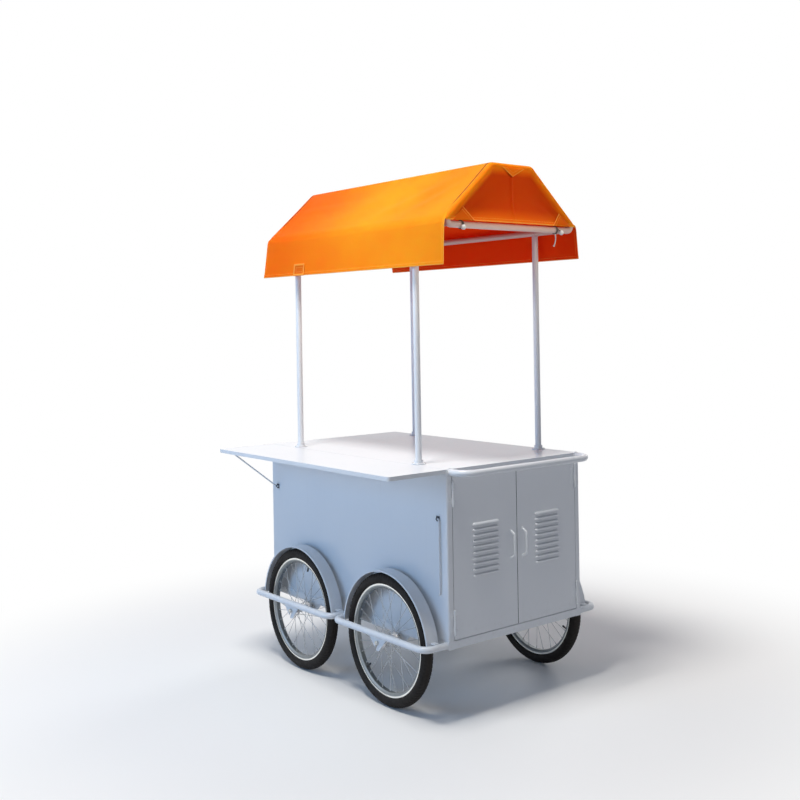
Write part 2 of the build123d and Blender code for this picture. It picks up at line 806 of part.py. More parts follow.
def cover_block(offset):
    """Solid a given distance outside the gable frames, its roof edges wrapped round their tubes."""
    points, bend = cover_points(offset)
    outline = bent_path(points, bend)
    region = make_face(outline.edges() + [Line(outline @ 1, outline @ 0)])
    end_x = gable_x + offset
    block = along_cart(region, -end_x, end_x)
    rims = []
    for x in (-end_x, end_x):
        rims += block.edges().filter_by_position(Axis.X, x, x)
    roof_rims = [edge for edge in rims if edge.center().Z > rear_valance_bottom + cover_thickness]
    return fillet(roof_rims, offset)


def turned_folds():
    """Outlines of the folds on a gable panel: one hangs from the ridge and two lie on the hem's corners."""
    top = ridge_height - frame_bend / 2
    hem = chord_height + tube_radius + hem_gap
    corner_y = knee_half - knee_tangent
    slope_y = corner_y - corner_fold_slope * cos(pitch)
    slope_z = hem + corner_fold_slope * sin(pitch)
    peak = make_face(Polyline((-fold_half, top), (fold_half, top), (0, top - fold_drop), close=True))
    corner = [(corner_y - corner_fold_hem, hem), (corner_y, hem), (slope_y, slope_z)]
    fold = make_face(Polyline(*corner, close=True))
    return peak + fold + mirror(fold, about=Plane.YZ)


def canopy_cover():
    """One sheet from valance to valance, with a gable panel and its turned folds at each end."""
    inner_offset = tube_radius + cover_clearance
    outer_offset = inner_offset + cover_thickness
    inner, inner_bend = cover_points(inner_offset)
    outer, outer_bend = cover_points(outer_offset)
    end_x = gable_x + outer_offset
    hem = chord_height + tube_radius + hem_gap
    reach = 2 * body_length
    above = box((-reach, reach), (-reach, reach), (hem, 2 * ridge_height))
    below = box((-reach, reach), (-reach, reach), (0, hem))
    valances = along_cart(bent_band(outer, inner, outer_bend, inner_bend), -end_x, end_x)
    cover = (cover_block(outer_offset) - cover_block(inner_offset)) & above
    cover += valances & below
    for end in (-1, 1):
        low, high = sorted((end * end_x, end * (end_x + fold_thickness)))
        cover += along_cart(turned_folds(), low, high)
    return cover


def canopy_ties():
    """Elastic loops with a ball that hold each gable panel's hem to the chord."""
    loop_radius = tube_radius + tie_clearance + tie_cord_radius
    loop = Rot(90, 0, 0) * Torus(loop_radius, tie_cord_radius)
    pieces = []
    for end in (-1, 1):
        for side in (-1, 1):
            ball = Pos(end * loop_radius, 0, -tie_ball_radius) * Sphere(tie_ball_radius)
            ball -= Pos(0, 0, 0) * along_y(Cylinder(tube_radius + tie_clearance, 4 * tie_ball_radius))
            pieces.append(Pos(end * gable_x, side * tie_offset, chord_height) * (loop + ball))
    return pieces


def all_nodes():
    nodes = {
        "chassis_frame": chassis_frame(),
        "cabinet_frame": cabinet_frame(),
        "front_panel": [side_panel(-1)],
        "rear_panel": [side_panel(1)],
        "plain_end_panel": [end_panel()],
        "floor_panel": [floor_panel()],
        "countertop": [countertop()],
        "push_handle": [push_handle()],
        "door_hinge_posts": fixed_hinge_leaves(),
        "inner_dropouts": inner_dropouts(),
        "wheel_axles": wheel_axles(),
        "axle_nuts": axle_nuts(),
        "flap": [flap()],
        "flap_hinge_fixed": flap_fixed_hinges(),
        "flap_hinge_moving": flap_moving_hinges(),
        "flap_eyes": flap_eyes(),
        "stay_brackets": stay_brackets(),
        "stay_plain_end": [stay(-1, 180.0 - stay_lean)],
        "stay_door_end": [stay(1, -90.0)],
        "post_feet": post_feet(),
        "eave_beams": long_tubes(post_y, eave_height),
        "ridge_tubes": long_tubes(ridge_half - frame_bend * tan(pitch / 2), ridge_height),
        "gable_frame_door_end": gable_frame(1),
        "gable_frame_plain_end": gable_frame(-1),
        "canopy_cover": [canopy_cover()],
        "canopy_ties": canopy_ties(),
    }
    for name, side in (("front", -1), ("rear", 1)):
        nodes[f"door_{name}"] = [door(side)]
        nodes[f"door_handle_{name}"] = [door_handle(side)]
        nodes[f"door_hinge_leaves_{name}"] = door_hinge_leaves(side)
    for name, (end, side) in corners.items():
        angle = valve_angles[name]
        nodes[f"tyre_{name}"] = [at_wheel(end, side, piece) for piece in tyre(angle)]
        nodes[f"rim_{name}"] = [at_wheel(end, side, rim(angle))]
        nodes[f"spokes_{name}"] = [at_wheel(end, side, piece) for piece in spokes()]
        nodes[f"hub_{name}"] = [at_wheel(end, side, hub())]
        nodes[f"outrigger_{name}"] = [outrigger(end, side)]
        nodes[f"wheel_guard_{name}"] = [wheel_guard(end, side)]
        nodes[f"canopy_post_{name}"] = [canopy_post(end, side)]
    return nodes


def outline_middle():
    """Middle of the whole outline on the ground."""
    tie_end = gable_x + tube_radius + tie_clearance + tie_cord_radius + tie_ball_radius
    x = (half_length + handle_reach + tube_radius - tie_end) / 2
    y = (outrigger_reach + tube_radius - flap_depth) / 2
    return x, y


def main():
    os.makedirs("parts", exist_ok=True)
    x, y = outline_middle()
    for name, solids in all_nodes().items():
        placed = [Pos(-x, -y, 0) * solid for solid in solids]
        export_step(placed[0] if len(placed) == 1 else Compound(placed), f"parts/{name}.step")


main()
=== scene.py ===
import json
import bpy
import numpy as np
from math import acos, atan2, cos, degrees, exp, hypot, pi, radians, sin, sqrt, tan
from mathutils import Matrix, Vector, noise


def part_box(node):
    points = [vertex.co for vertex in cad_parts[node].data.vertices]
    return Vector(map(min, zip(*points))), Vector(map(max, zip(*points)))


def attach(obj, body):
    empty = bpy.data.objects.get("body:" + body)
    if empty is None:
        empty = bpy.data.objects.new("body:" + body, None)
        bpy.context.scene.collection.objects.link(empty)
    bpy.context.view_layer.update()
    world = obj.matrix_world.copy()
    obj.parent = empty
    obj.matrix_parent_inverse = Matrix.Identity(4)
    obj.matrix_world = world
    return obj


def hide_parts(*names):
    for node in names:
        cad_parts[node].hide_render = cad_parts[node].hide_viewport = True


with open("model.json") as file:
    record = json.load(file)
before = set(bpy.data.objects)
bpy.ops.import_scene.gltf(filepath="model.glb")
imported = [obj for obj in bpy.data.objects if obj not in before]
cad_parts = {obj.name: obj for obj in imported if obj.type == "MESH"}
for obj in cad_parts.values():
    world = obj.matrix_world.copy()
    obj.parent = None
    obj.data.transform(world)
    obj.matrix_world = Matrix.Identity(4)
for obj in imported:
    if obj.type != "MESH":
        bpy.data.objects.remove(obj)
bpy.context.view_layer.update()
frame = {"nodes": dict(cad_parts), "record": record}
scene = bpy.context.scene
nodes = frame["nodes"]
print("frame loaded,", len(nodes), "nodes")

corners = (  # name, end along x, side along y
    ("front_door_end", 1, -1),
    ("front_plain_end", -1, -1),
    ("rear_door_end", 1, 1),
    ("rear_plain_end", -1, 1),
)
cartLow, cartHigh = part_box("countertop")
cartMid = (cartLow + cartHigh) / 2  # the cabinet's middle, off the origin because of the handle and the flap


def onCart(x, y, z):  # cabinet millimetres to the row frame
    return Vector((cartMid.x + x / 1000, cartMid.y + y / 1000, z / 1000))


# node helpers for the finishes

pen = {"tree": None, "shader": None}  # the node tree being drawn and its shader


def feed(socket, value):
    if isinstance(value, bpy.types.NodeSocket):
        pen["tree"].links.new(value, socket)
    elif isinstance(value, tuple) and len(value) == 3 and len(socket.default_value) == 4:
        socket.default_value = (*value, 1)
    else:
        socket.default_value = value


def addNode(kind, inputs, **settings):
    node = pen["tree"].nodes.new("ShaderNode" + kind)
    for key, value in settings.items():
        setattr(node, key, value)
    for key, value in inputs.items():
        feed(node.inputs[key], value)
    return node


def startFinish(name, colour, rough, others):
    material = bpy.data.materials.new(name)
    material.use_nodes = True
    pen["tree"] = material.node_tree
    pen["shader"] = pen["tree"].nodes["Principled BSDF"]
    tint(colour, rough)
    for key, value in others.items():
        feed(pen["shader"].inputs[key], value)
    return material


def tint(colour, rough):
    feed(pen["shader"].inputs["Base Color"], colour)
    feed(pen["shader"].inputs["Roughness"], rough)


def objectPlace():
    return addNode("TexCoord", {}).outputs["Object"]


def clouds(place, scale, detail=4.0, grain=0.55):
    inputs = {"Vector": place, "Scale": scale, "Detail": detail, "Roughness": grain}
    return addNode("TexNoise", inputs).outputs["Fac"]


def stretch(place, scale):
    return addNode("Mapping", {"Vector": place, "Scale": scale}).outputs["Vector"]


def remap(value, low, high, start=0.0, end=1.0):
    inputs = {"Value": value, "From Min": low, "From Max": high, "To Min": start, "To Max": end}
    return addNode("MapRange", inputs, interpolation_type="SMOOTHSTEP").outputs["Result"]


def sums(kind, first, second=0.0, third=0.0):
    return addNode("Math", {0: first, 1: second, 2: third}, operation=kind).outputs[0]


def times(first, second):
    return sums("MULTIPLY", first, second)


def minus(first, second):
    return sums("SUBTRACT", first, second)


def gap(first, second):  # how far apart two values are
    return sums("ABSOLUTE", minus(first, second))


def reach(first, second):  # distance from two coordinates
    return sums("SQRT", sums("ADD", times(first, first), times(second, second)))


def layer(amount, under, over):
    return addNode("Mix", {"Factor": amount, 6: under, 7: over}, data_type="RGBA").outputs[2]


def splitPlace(place):
    return addNode("SeparateXYZ", {0: place}).outputs


def emboss(height, depth, strength, under=None):
    inputs = {"Height": height, "Distance": depth, "Strength": strength}
    if under is not None:
        inputs["Normal"] = under
    normal = addNode("Bump", inputs).outputs["Normal"]
    feed(pen["shader"].inputs["Normal"], normal)
    return normal


def worn(radius):  # 0 on flats, towards 1 on outer and inner edges
    rounded = addNode("Bevel", {"Radius": radius}, samples=4).outputs["Normal"]
    flat = addNode("NewGeometry", {}).outputs["Normal"]
    alike = addNode("VectorMath", {0: rounded, 1: flat}, operation="DOT_PRODUCT").outputs["Value"]
    return remap(alike, 0.985, 0.80)


# finishes

paintSet = {
    "gloss": (0.80, 0.82, 0.84), "tired": (0.745, 0.77, 0.80), "tiredShare": 0.45,
    "dust": (0.46, 0.43, 0.38),
    "dustHeight": (0.46, 0.2),  # from none to full
    "dustShare": 0.26,
    "runs": (60.0, 60.0, 3.0),  # streaks, drawn out along z
    "runShare": 0.10, "bare": (0.17, 0.155, 0.14), "bareShare": 0.8, "edge": 0.0012,
    "frameClothLight": (0.69, 0.50, 0.45),  # canopy tubes: painted shade under the canopy and painted orange light from the cloth
    # gapShade is the colour of the painted shade in the gap between the doors; gapShadeFacing and
    # gapShadeReach say which faces take it
    "frameClothLightTired": (0.65, 0.47, 0.42), "gapShade": (0.030, 0.032, 0.038), "gapShadeFacing": (0.30, 0.75),
    "gapShadeReach": (0.006, 0.004),
}


def whitePaint(name="whiteEnamel", gloss=paintSet["gloss"], tired=paintSet["tired"], gapShadeAt=None):
    s = paintSet
    material = startFinish(name, gloss, 0.34, {"Coat Weight": 0.22, "Coat Roughness": 0.16})
    place = objectPlace()
    parts = splitPlace(place)
    drift = remap(clouds(place, 2.4, 3.0), 0.38, 0.70)
    speck = clouds(place, 46.0, 8.0, 0.7)
    colour = layer(times(drift, s["tiredShare"]), gloss, tired)
    low = remap(parts[2], *s["dustHeight"])
    dirt = times(low, remap(speck, 0.48, 0.80, 0.0, s["dustShare"]))
    colour = layer(dirt, colour, s["dust"])
    runs = clouds(stretch(place, s["runs"]), 1.0, 4.0)
    colour = layer(remap(runs, 0.62, 0.86, 0.0, s["runShare"]), colour, s["dust"])
    chips = times(worn(s["edge"]), remap(clouds(place, 90.0, 5.0), 0.60, 0.68))
    colour = layer(times(chips, s["bareShare"]), colour, s["bare"])
    if gapShadeAt is not None:  # painted shade on the faces in the gap where two doors meet
        facing = splitPlace(addNode("TexCoord", {}).outputs["Normal"])[1]
        edge = remap(sums("ABSOLUTE", facing), *s["gapShadeFacing"])
        near = remap(gap(parts[1], gapShadeAt), *s["gapShadeReach"])
        colour = layer(times(edge, near), colour, s["gapShade"])
    rough = sums("ADD", remap(speck, 0.3, 0.8, 0.28, 0.4), times(dirt, 0.4))
    tint(colour, rough)
    peel = emboss(clouds(place, 420.0, 2.0), 0.0003, 0.05)
    emboss(clouds(place, 5.0, 2.0), 0.003, 0.10, peel)
    return material


rodSet = {"paint": (0.83, 0.85, 0.87), "bare": (0.42, 0.40, 0.38), "grain": (30.0, 90.0, 90.0)}


def rodPaint():
    s = rodSet
    material = startFinish("rubbedRodPaint", s["paint"], 0.38, {"Coat Weight": 0.15, "Coat Roughness": 0.2})
    grain = clouds(stretch(objectPlace(), s["grain"]), 1.0, 6.0, 0.65)
    rubbed = remap(grain, 0.66, 0.80)
    rough = remap(rubbed, 0.0, 1.0, 0.36, 0.5)
    tint(layer(rubbed, s["paint"], s["bare"]), rough)
    emboss(minus(1.0, rubbed), 0.0002, 0.5)
    return material


rimLow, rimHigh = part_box("rim_front_door_end")
rimSet = {
    # edge is the colour of a painted highlight on the rims' lips
    "edge": (0.88, 0.865, 0.81),
    "lip": (0.0072, 0.0052),  # in from the edge, from none to full
    "x": (rimLow.x + rimHigh.x) / 2 - cartMid.x, "z": (rimLow.z + rimHigh.z) / 2,
    "radius": (rimHigh.z - rimLow.z) / 2,
}


def rimLipHighlight(place):  # 1 on the outermost few millimetres of any of the four rims
    s = rimSet
    parts = splitPlace(place)
    along = minus(gap(parts[0], cartMid.x), s["x"])
    up = minus(parts[2], s["z"])
    return remap(minus(s["radius"], reach(along, up)), *s["lip"])


metalSet = {
    # name, bright, dull, roughness, grain along the axes, share of dull spots, bright edge
    "zinc": ("zincPlate", (0.62, 0.62, 0.60), (0.36, 0.33, 0.27), 0.36, (500.0, 40.0, 500.0), 0.7, None),
    # the rim's dark base is painted reflection of dark ground; its bright edge is a painted highlight
    "rim_metal": ("rimPlate", (0.25, 0.27, 0.28), (0.17, 0.165, 0.155), 0.44, (60.0, 900.0, 60.0), 0.45,
                  rimSet["edge"]),
    "spoke_steel": ("drawnSpokeWire", (0.43, 0.44, 0.45), (0.24, 0.225, 0.21), 0.46, (80.0, 80.0, 80.0), 0.5,
                    None),
    "hub_chrome": ("hubChrome", (0.70, 0.70, 0.71), (0.28, 0.26, 0.23), 0.18, (90.0, 700.0, 90.0), 0.4, None),
}


def platedMetal(name, bright, dull, rough, grainScale, spotted, edge):
    material = startFinish(name, bright, rough, {"Metallic": 1.0})
    place = objectPlace()
    grain = clouds(stretch(place, grainScale), 1.0, 3.0)
    age = remap(clouds(place, 38.0, 7.0, 0.7), 0.5, 0.8)
    colour = layer(times(age, spotted), bright, dull)
    if edge:  # painted highlight along its lips
        colour = layer(rimLipHighlight(place), colour, edge)
    brushed = remap(grain, 0.3, 0.7, rough * 0.8, rough * 1.25)
    tint(colour, sums("ADD", brushed, times(age, 0.22)))
    emboss(grain, 0.0002, 0.1)
    return material


rubberSet = {
    "black": (0.0075, 0.0056, 0.0047), "dusty": (0.050, 0.041, 0.034), "tread": (0.238, 0.249),
    "dustShare": (0.06, 0.36),  # on the walls, on the tread
}


def tyreRubber():
    s = rubberSet
    material = startFinish("dustyTyreRubber", s["black"], 0.78, {"Specular IOR Level": 0.25})
    place = objectPlace()
    parts = splitPlace(place)
    onTread = remap(reach(parts[0], parts[2]), *s["tread"])
    patches = clouds(place, 60.0, 8.0, 0.7)
    dust = times(remap(patches, 0.35, 0.75), remap(onTread, 0.0, 1.0, *s["dustShare"]))
    tint(layer(dust, s["black"], s["dusty"]), remap(patches, 0.3, 0.8, 0.58, 0.9))
    emboss(clouds(place, 900.0, 3.0), 0.0003, 0.25)
    return material


fabricSet = {
    "lit": (0.92, 0.100, 0.0016), "paleToneAndLight": (1.0, 0.27, 0.008),
    "paintedLightX": (-0.62, 0.22),  # painted light: paler towards the door end, where the slopes are more lit
    # gable is painted shade: the darker colour of gable panels, folds and tab middles that lie in shade
    "deep": (0.66, 0.105, 0.003), "gable": (0.56, 0.055, 0.0026),
    "valance": (1.0, 0.37, 0.014),  # painted light: paler where the valance hangs in full light
    # inside is painted glow: redder and paler for light that passes through the thin cloth
    "valancePaintedLightZ": (1.850, 1.790), "valancePaintedLightShare": (0.18, 0.42), "inside": (1.0, 0.066, 0.004),
    "glow": 0.85,  # thin cloth lets some light through
    "glowColour": (1.0, 0.45, 0.2), "glowReach": 0.002, "weave": 0.0011, "streaks": (4.0, 14.0, 1.0),
    "streakShare": 0.16, "thread": (1.0, 0.47, 0.10), "threadShare": 0.7,
    "threadWide": (0.0009, 0.0005), "stitchLength": 0.0042, "hemStitch": 0.0125,
    # hemPaintedHighlight: a painted highlight along hems and fold edges, in the thread colour
    "hemPaintedHighlight": (0.0050, 0.00225), "hemPaintedHighlightShare": 0.6, "seamStitch": 0.0085,
    # seam is the colour of painted shade in the crease along the seam
    "seamStitchZ": (1.845, 1.86), "seam": (0.12, 0.022, 0.003), "seamShadeWide": (0.0052, 0.0022),
    "seamShadeZ": (1.848, 1.905),  # the painted shade in the seam's crease flattens out at the knee
    "seamShadeShare": 0.85,
}


def spread(name):  # a value that the mesh carries
    return addNode("Attribute", {}, attribute_name=name).outputs["Fac"]


def canopyFabric(name, *colours):
    s = fabricSet
    base, paleAndLit, panel = (s[key] for key in colours)
    material = startFinish(name, base, 0.65, {
        "Sheen Weight": 0.01, "Sheen Roughness": 0.4, "Specular IOR Level": 0.03,
        "Subsurface Weight": s["glow"], "Subsurface Radius": s["glowColour"],
        "Subsurface Scale": s["glowReach"]})
    uv = addNode("UVMap", {}).outputs["UV"]
    place = objectPlace()
    across, parts = splitPlace(uv), splitPlace(place)
    warp, weft = (sums("SINE", times(across[k], 2 * pi / s["weave"])) for k in (0, 1))
    weave = times(warp, weft)
    drift = clouds(place, 1.8, 3.0)
    # painted light: paler towards the door end, where the slopes are more lit, mixed with random pale tone
    toneAndPaintedLight = times(remap(drift, 0.30, 0.70, 0.45, 1.0), remap(parts[0], *s["paintedLightX"]))
    colour = layer(toneAndPaintedLight, base, paleAndLit)
    # painted light: the valance is paler where it hangs in full light
    if base != paleAndLit:
        lit = remap(toneAndPaintedLight, 0.0, 1.0, *s["valancePaintedLightShare"])
        colour = layer(times(remap(parts[2], *s["valancePaintedLightZ"]), lit), colour, s["valance"])
    # painted shade on the gable panels, folds and tab
    colour = layer(spread("panelShade"), colour, panel)
    streaks = clouds(stretch(uv, s["streaks"]), 1.0, 5.0, 0.6)
    colour = layer(remap(streaks, 0.56, 0.88, 0.0, s["streakShare"]), colour, s["deep"])
    colour = layer(sums("MULTIPLY_ADD", weave, 0.03, 0.03), colour, s["deep"])
    hem, seam = spread("hemDistance"), spread("seamDistance")
    along = times(sums("ADD", across[0], across[1]), 1 / s["stitchLength"])
    dash = remap(sums("FRACT", along), 0.70, 0.62)
    seamDash = times(dash, remap(parts[2], *s["seamStitchZ"]))
    stitches = None
    for where, at, dashes in ((hem, s["hemStitch"], dash), (seam, s["seamStitch"], seamDash),
                              (seam, -s["seamStitch"], seamDash)):
        line = times(remap(gap(where, at), *s["threadWide"]), dashes)
        stitches = sums("MAXIMUM", stitches, line) if stitches else line
    # painted shade in the crease along the seam, fading out at the knee
    crease = remap(sums("ABSOLUTE", seam), *s["seamShadeWide"])
    crease = times(crease, remap(parts[2], *s["seamShadeZ"]))
    colour = layer(times(crease, s["seamShadeShare"]), colour, s["seam"])
    # painted highlight: a pale line along hems and fold edges, where they catch the light
    colour = layer(remap(hem, *s["hemPaintedHighlight"], 0.0, s["hemPaintedHighlightShare"]), colour, s["thread"])
    colour = layer(times(stitches, s["threadShare"]), colour, s["thread"])
    tint(colour, remap(drift, 0.3, 0.7, 0.48, 0.60))
    fine = emboss(weave, 0.00012, 0.3)
    emboss(minus(stitches, crease), 0.0006, 0.6, fine)
    return material


speckSet = {
    "mouldedTieWhite": {
        "grain": (300.0, 5.0), "base": (0.84, 0.84, 0.82), "speck": (0.6, 0.57, 0.5),
        "share": (0.5, 0.8, 0.0, 0.4), "rough": (0.3, 0.8, 0.28, 0.5), "bump": (0.0002, 0.15), "sheen": 0.0},
    "braidedElastic": {
        "grain": (1400.0, 2.0), "base": (0.06, 0.05, 0.045), "speck": (0.2, 0.17, 0.14),
        "share": (0.35, 0.65), "rough": 0.8, "bump": (0.0004, 0.6), "sheen": 0.3},
    "valveRubber": {
        "grain": (400.0, 4.0), "base": (0.02, 0.02, 0.02), "speck": (0.1, 0.09, 0.08),
        "share": (0.5, 0.8, 0.0, 0.5), "rough": (0.3, 0.7, 0.42, 0.66), "bump": None, "sheen": 0.0},
}


def speckled(name):
    s = speckSet[name]
    material = startFinish(name, s["base"], 0.5, {"Sheen Weight": s["sheen"]})
    speck = clouds(objectPlace(), *s["grain"])
    rough = remap(speck, *s["rough"]) if isinstance(s["rough"], tuple) else s["rough"]
    tint(layer(remap(speck, *s["share"]), s["base"], s["speck"]), rough)
    if s["bump"]:
        emboss(speck, *s["bump"])
    return material


pivotBlackSet = {
    "pivotBlack": (0.040, 0.046, 0.060), "pivotGrey": (0.15, 0.15, 0.155), "pivot": 0.734,
    "spread": (0.0115, 0.0085),
}


def pivotBlackPaint():  # white paint, black round the stay's pivot
    s = pivotBlackSet
    material = startFinish("greasedBracketPaint", paintSet["gloss"], 0.4, {})
    place = objectPlace()
    rubbed = remap(clouds(place, 130.0, 6.0, 0.65), 0.5, 0.8, 0.0, 0.7)
    nearPivot = remap(gap(splitPlace(place)[2], s["pivot"]), *s["spread"])
    black = layer(rubbed, s["pivotBlack"], s["pivotGrey"])
    rough = remap(rubbed, 0.0, 0.7, 0.36, 0.6)
    tint(layer(nearPivot, paintSet["tired"], black), rough)
    emboss(rubbed, 0.0003, 0.3)
    return material


finishes = {slotName: platedMetal(*values) for slotName, values in metalSet.items()}
finishes |= {
    "white_paint": whitePaint(),
    "stay_paint": rodPaint(),
    "tyre_rubber": tyreRubber(),
    "canopy_fabric": canopyFabric("canopyCloth", "lit", "paleToneAndLight", "gable"),
    "tie_plastic": speckled("mouldedTieWhite"),
}
extras = {  # finishes of single pieces
    # painted glow: the inside of the cloth is coloured redder and paler for light passing through it
    "inside": canopyFabric("canopyClothInside", "inside", "inside", "inside"),
    "elastic": speckled("braidedElastic"),
    "valve": speckled("valveRubber"),
    "bracket": pivotBlackPaint(),
    # canopy tubes: painted shade and painted orange light from the cloth
    "frame": whitePaint("warmFramePaint", paintSet["frameClothLight"], paintSet["frameClothLightTired"]),
    # door paint with painted shade in the gap between the two doors
    "door": whitePaint("doorPaint", gapShadeAt=cartMid.y),
}
print("finishes made,", len(finishes) + len(extras))


# CAD nodes: finish, welded vertices, rounded edges and smooth curves

edgeSet = {
    "weld": 0.000002, "sharp": radians(33), "round": 0.0007, "roundFrom": radians(48), "roundSteps": 2,
    "flatWeight": 100,
}
roundedNodes = (
    "chassis_frame", "front_panel", "rear_panel", "plain_end_panel", "countertop", "door_front", "door_rear",
    "flap", "door_hinge_posts", "door_hinge_leaves_front", "door_hinge_leaves_rear", "inner_dropouts",
    "stay_brackets", "flap_eyes", "post_feet", "axle_nuts")
roundedKinds = ("outrigger", "wheel_guard")
ownFinish = {
    "bracket": ("stay_brackets",),
    "frame": ("gable_frame_door_end", "gable_frame_plain_end", "eave_beams", "ridge_tubes"),
    "door": ("door_front", "door_rear"),
}


def smoothGroup():
    group = bpy.data.node_groups.new("smoothCurves", "GeometryNodeTree")
    for way in ("INPUT", "OUTPUT"):
        group.interface.new_socket("Geometry", in_out=way, socket_type="NodeSocketGeometry")
    start, end, faces, edges, angle, below = (group.nodes.new(kind) for kind in (
        "NodeGroupInput", "NodeGroupOutput", "GeometryNodeSetShadeSmooth", "GeometryNodeSetShadeSmooth",
        "GeometryNodeInputMeshEdgeAngle", "FunctionNodeCompare"))
    edges.domain = "EDGE"
    below.operation = "LESS_THAN"
    below.inputs["B"].default_value = edgeSet["sharp"]
    for source, target in ((start.outputs[0], faces.inputs["Geometry"]),
                           (faces.outputs["Geometry"], edges.inputs["Geometry"]),
                           (angle.outputs["Unsigned Angle"], below.inputs["A"]),
                           (below.outputs["Result"], edges.inputs["Shade Smooth"]),
                           (edges.outputs["Geometry"], end.inputs[0])):
        group.links.new(source, target)
    return group


smoothCurves = smoothGroup()


def dressNode(name, slotName):
    s, node = edgeSet, nodes[name]
    node.data.materials.clear()
    node.data.materials.append(finishes[slotName])
    if "custom_normal" in node.data.attributes:
        node.data.attributes.remove(node.data.attributes["custom_normal"])
    node.modifiers.new("weld", "WELD").merge_threshold = s["weld"]
    isRounded = name in roundedNodes or name.startswith(roundedKinds)
    if isRounded:
        rounding = node.modifiers.new("rounding", "BEVEL")
        rounding.width = s["round"]
        rounding.segments = s["roundSteps"]
        rounding.limit_method = "ANGLE"
        rounding.angle_limit = s["roundFrom"]
        rounding.harden_normals = True
    node.modifiers.new("smooth", "NODES").node_group = smoothCurves
    if isRounded:  # large faces lead the shading beside small ones, so flats stay flat
        flats = node.modifiers.new("flats", "WEIGHTED_NORMAL")
        flats.mode = "FACE_AREA"
        flats.weight = s["flatWeight"]
        flats.keep_sharp = True


for piece in frame["record"]["subparts"]:
    dressNode(piece["node"], piece["material_slot"])
for finish, names in ownFinish.items():
    for name in names:
        nodes[name].data.materials[0] = extras[finish]
print("CAD nodes dressed")


# mesh helpers

def makePiece(name, points, faces, materials):
    mesh = bpy.data.meshes.new(name)
    mesh.from_pydata([tuple(p) for p in points], [], faces)
    mesh.update()
    for material in materials:
        mesh.materials.append(material)
    mesh.polygons.foreach_set("use_smooth", [True] * len(mesh.polygons))
    return placeMesh(name, mesh)


def placeMesh(name, mesh):
    piece = bpy.data.objects.new(name, mesh)
    scene.collection.objects.link(piece)
    return piece


def settle(piece, body, slotName, *replaced):
    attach(piece, body)
    if replaced:
        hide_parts(*replaced)


def addPiece(name, form, body, slotName, *replaced, finish=None):
    piece = makePiece(name, *form, [finish or finishes[slotName]])
    settle(piece, body, slotName, *replaced)


def thicken(piece, thick):
    shell = piece.modifiers.new("thickness", "SOLIDIFY")
    shell.thickness = thick
    return shell


def gridFaces(rows, columns, start=0, wrapRows=False, wrapColumns=False):
    faces = []
    for r in range(rows if wrapRows else rows - 1):
        for c in range(columns if wrapColumns else columns - 1):
            row, nextRow = start + r * columns, start + (r + 1) % rows * columns
            nextColumn = (c + 1) % columns
            faces.append((row + c, row + nextColumn, nextRow + nextColumn, nextRow + c))
    return faces


def turned(axis):  # matrix that takes +Z to the axis
    return Vector((0, 0, 1)).rotation_difference(Vector(axis).normalized()).to_matrix()


def lathe(points, faces, profile, place, axis, steps):  # adds a turned form, profile in (radius, along)
    matrix = turned(axis)
    start = len(points)
    for radius, along in profile:
        for k in range(steps):
            a = 2 * pi * k / steps
            points.append(Vector(place) + matrix @ Vector((radius * cos(a), radius * sin(a), along)))
    faces += gridFaces(len(profile), steps, start, wrapColumns=True)


def sweep(points, faces, path, radius, sides=8, closed=False):  # adds a round tube along a path
    path = [Vector(p) for p in path]
    count = len(path)
    start = len(points)
    up = None
    for i, p in enumerate(path):
        before = path[i - 1] if closed or i else p
        after = path[(i + 1) % count] if closed or i < count - 1 else p
        forward = (after - before).normalized()
        if up is None:
            up = forward.orthogonal().normalized()
        up = (up - forward * up.dot(forward)).normalized()
        side = forward.cross(up)
        for k in range(sides):
            a = 2 * pi * k / sides
            points.append(p + radius * (cos(a) * up + sin(a) * side))
    faces += gridFaces(count, sides, start, wrapRows=closed, wrapColumns=True)
    if not closed:
        faces.append(tuple(range(start + sides - 1, start - 1, -1)))
        faces.append(tuple(range(start + (count - 1) * sides, start + count * sides)))


# canopy cloth

canopySet = {
    "tube": 0.0125, "bend": 0.016, "clear": 0.0016,
    "turn": 0.062,  # radius of the soft turn over the eave
    "flare": radians(5.2),
    "skew": 0.0055,  # the serving valance stands further out at the plain end
    "valanceY": 0.3,  # the cover's lowest points beyond this are its hems
    "columns": 52, "ridgeRows": (0, 0.003, 0.007, 0.014, 0.03, 0.05, 0.072), "bendRows": 5,
    "slopeRows": 26, "turnRows": 13, "valanceRows": 12,
    "wraps": (18, 36, 54, 72, 90),  # degrees round the end tubes
    "wrapLeast": 0.02, "sag": 0.007,
    "ridgeSag": 0.4,  # share of the slopes' sag
    "held": 8,  # how suddenly the ends hold the cloth up
    "ripple": 0.0018, "valanceWave": 0.0036, "thick": 0.0009, "hemBand": 0.0155, "hemStep": 0.002,
    "hemStitch": 0.008, "hemProud": 0.0008, "hemUp": 0.0006, "seamIn": 0.0075,
    "seamSteps": (0.004, 0.003),
}
pullSet = (
    # from x, from ridge, to x, to ridge, height, width
    (0.57, 0.11, 0.02, 0.42, 0.0050, 0.034),
    (0.58, 0.16, 0.30, 0.40, 0.0030, 0.026),
    (0.20, 0.12, -0.25, 0.40, 0.0026, 0.050),
    (-0.57, 0.13, -0.30, 0.40, 0.0030, 0.040),
)
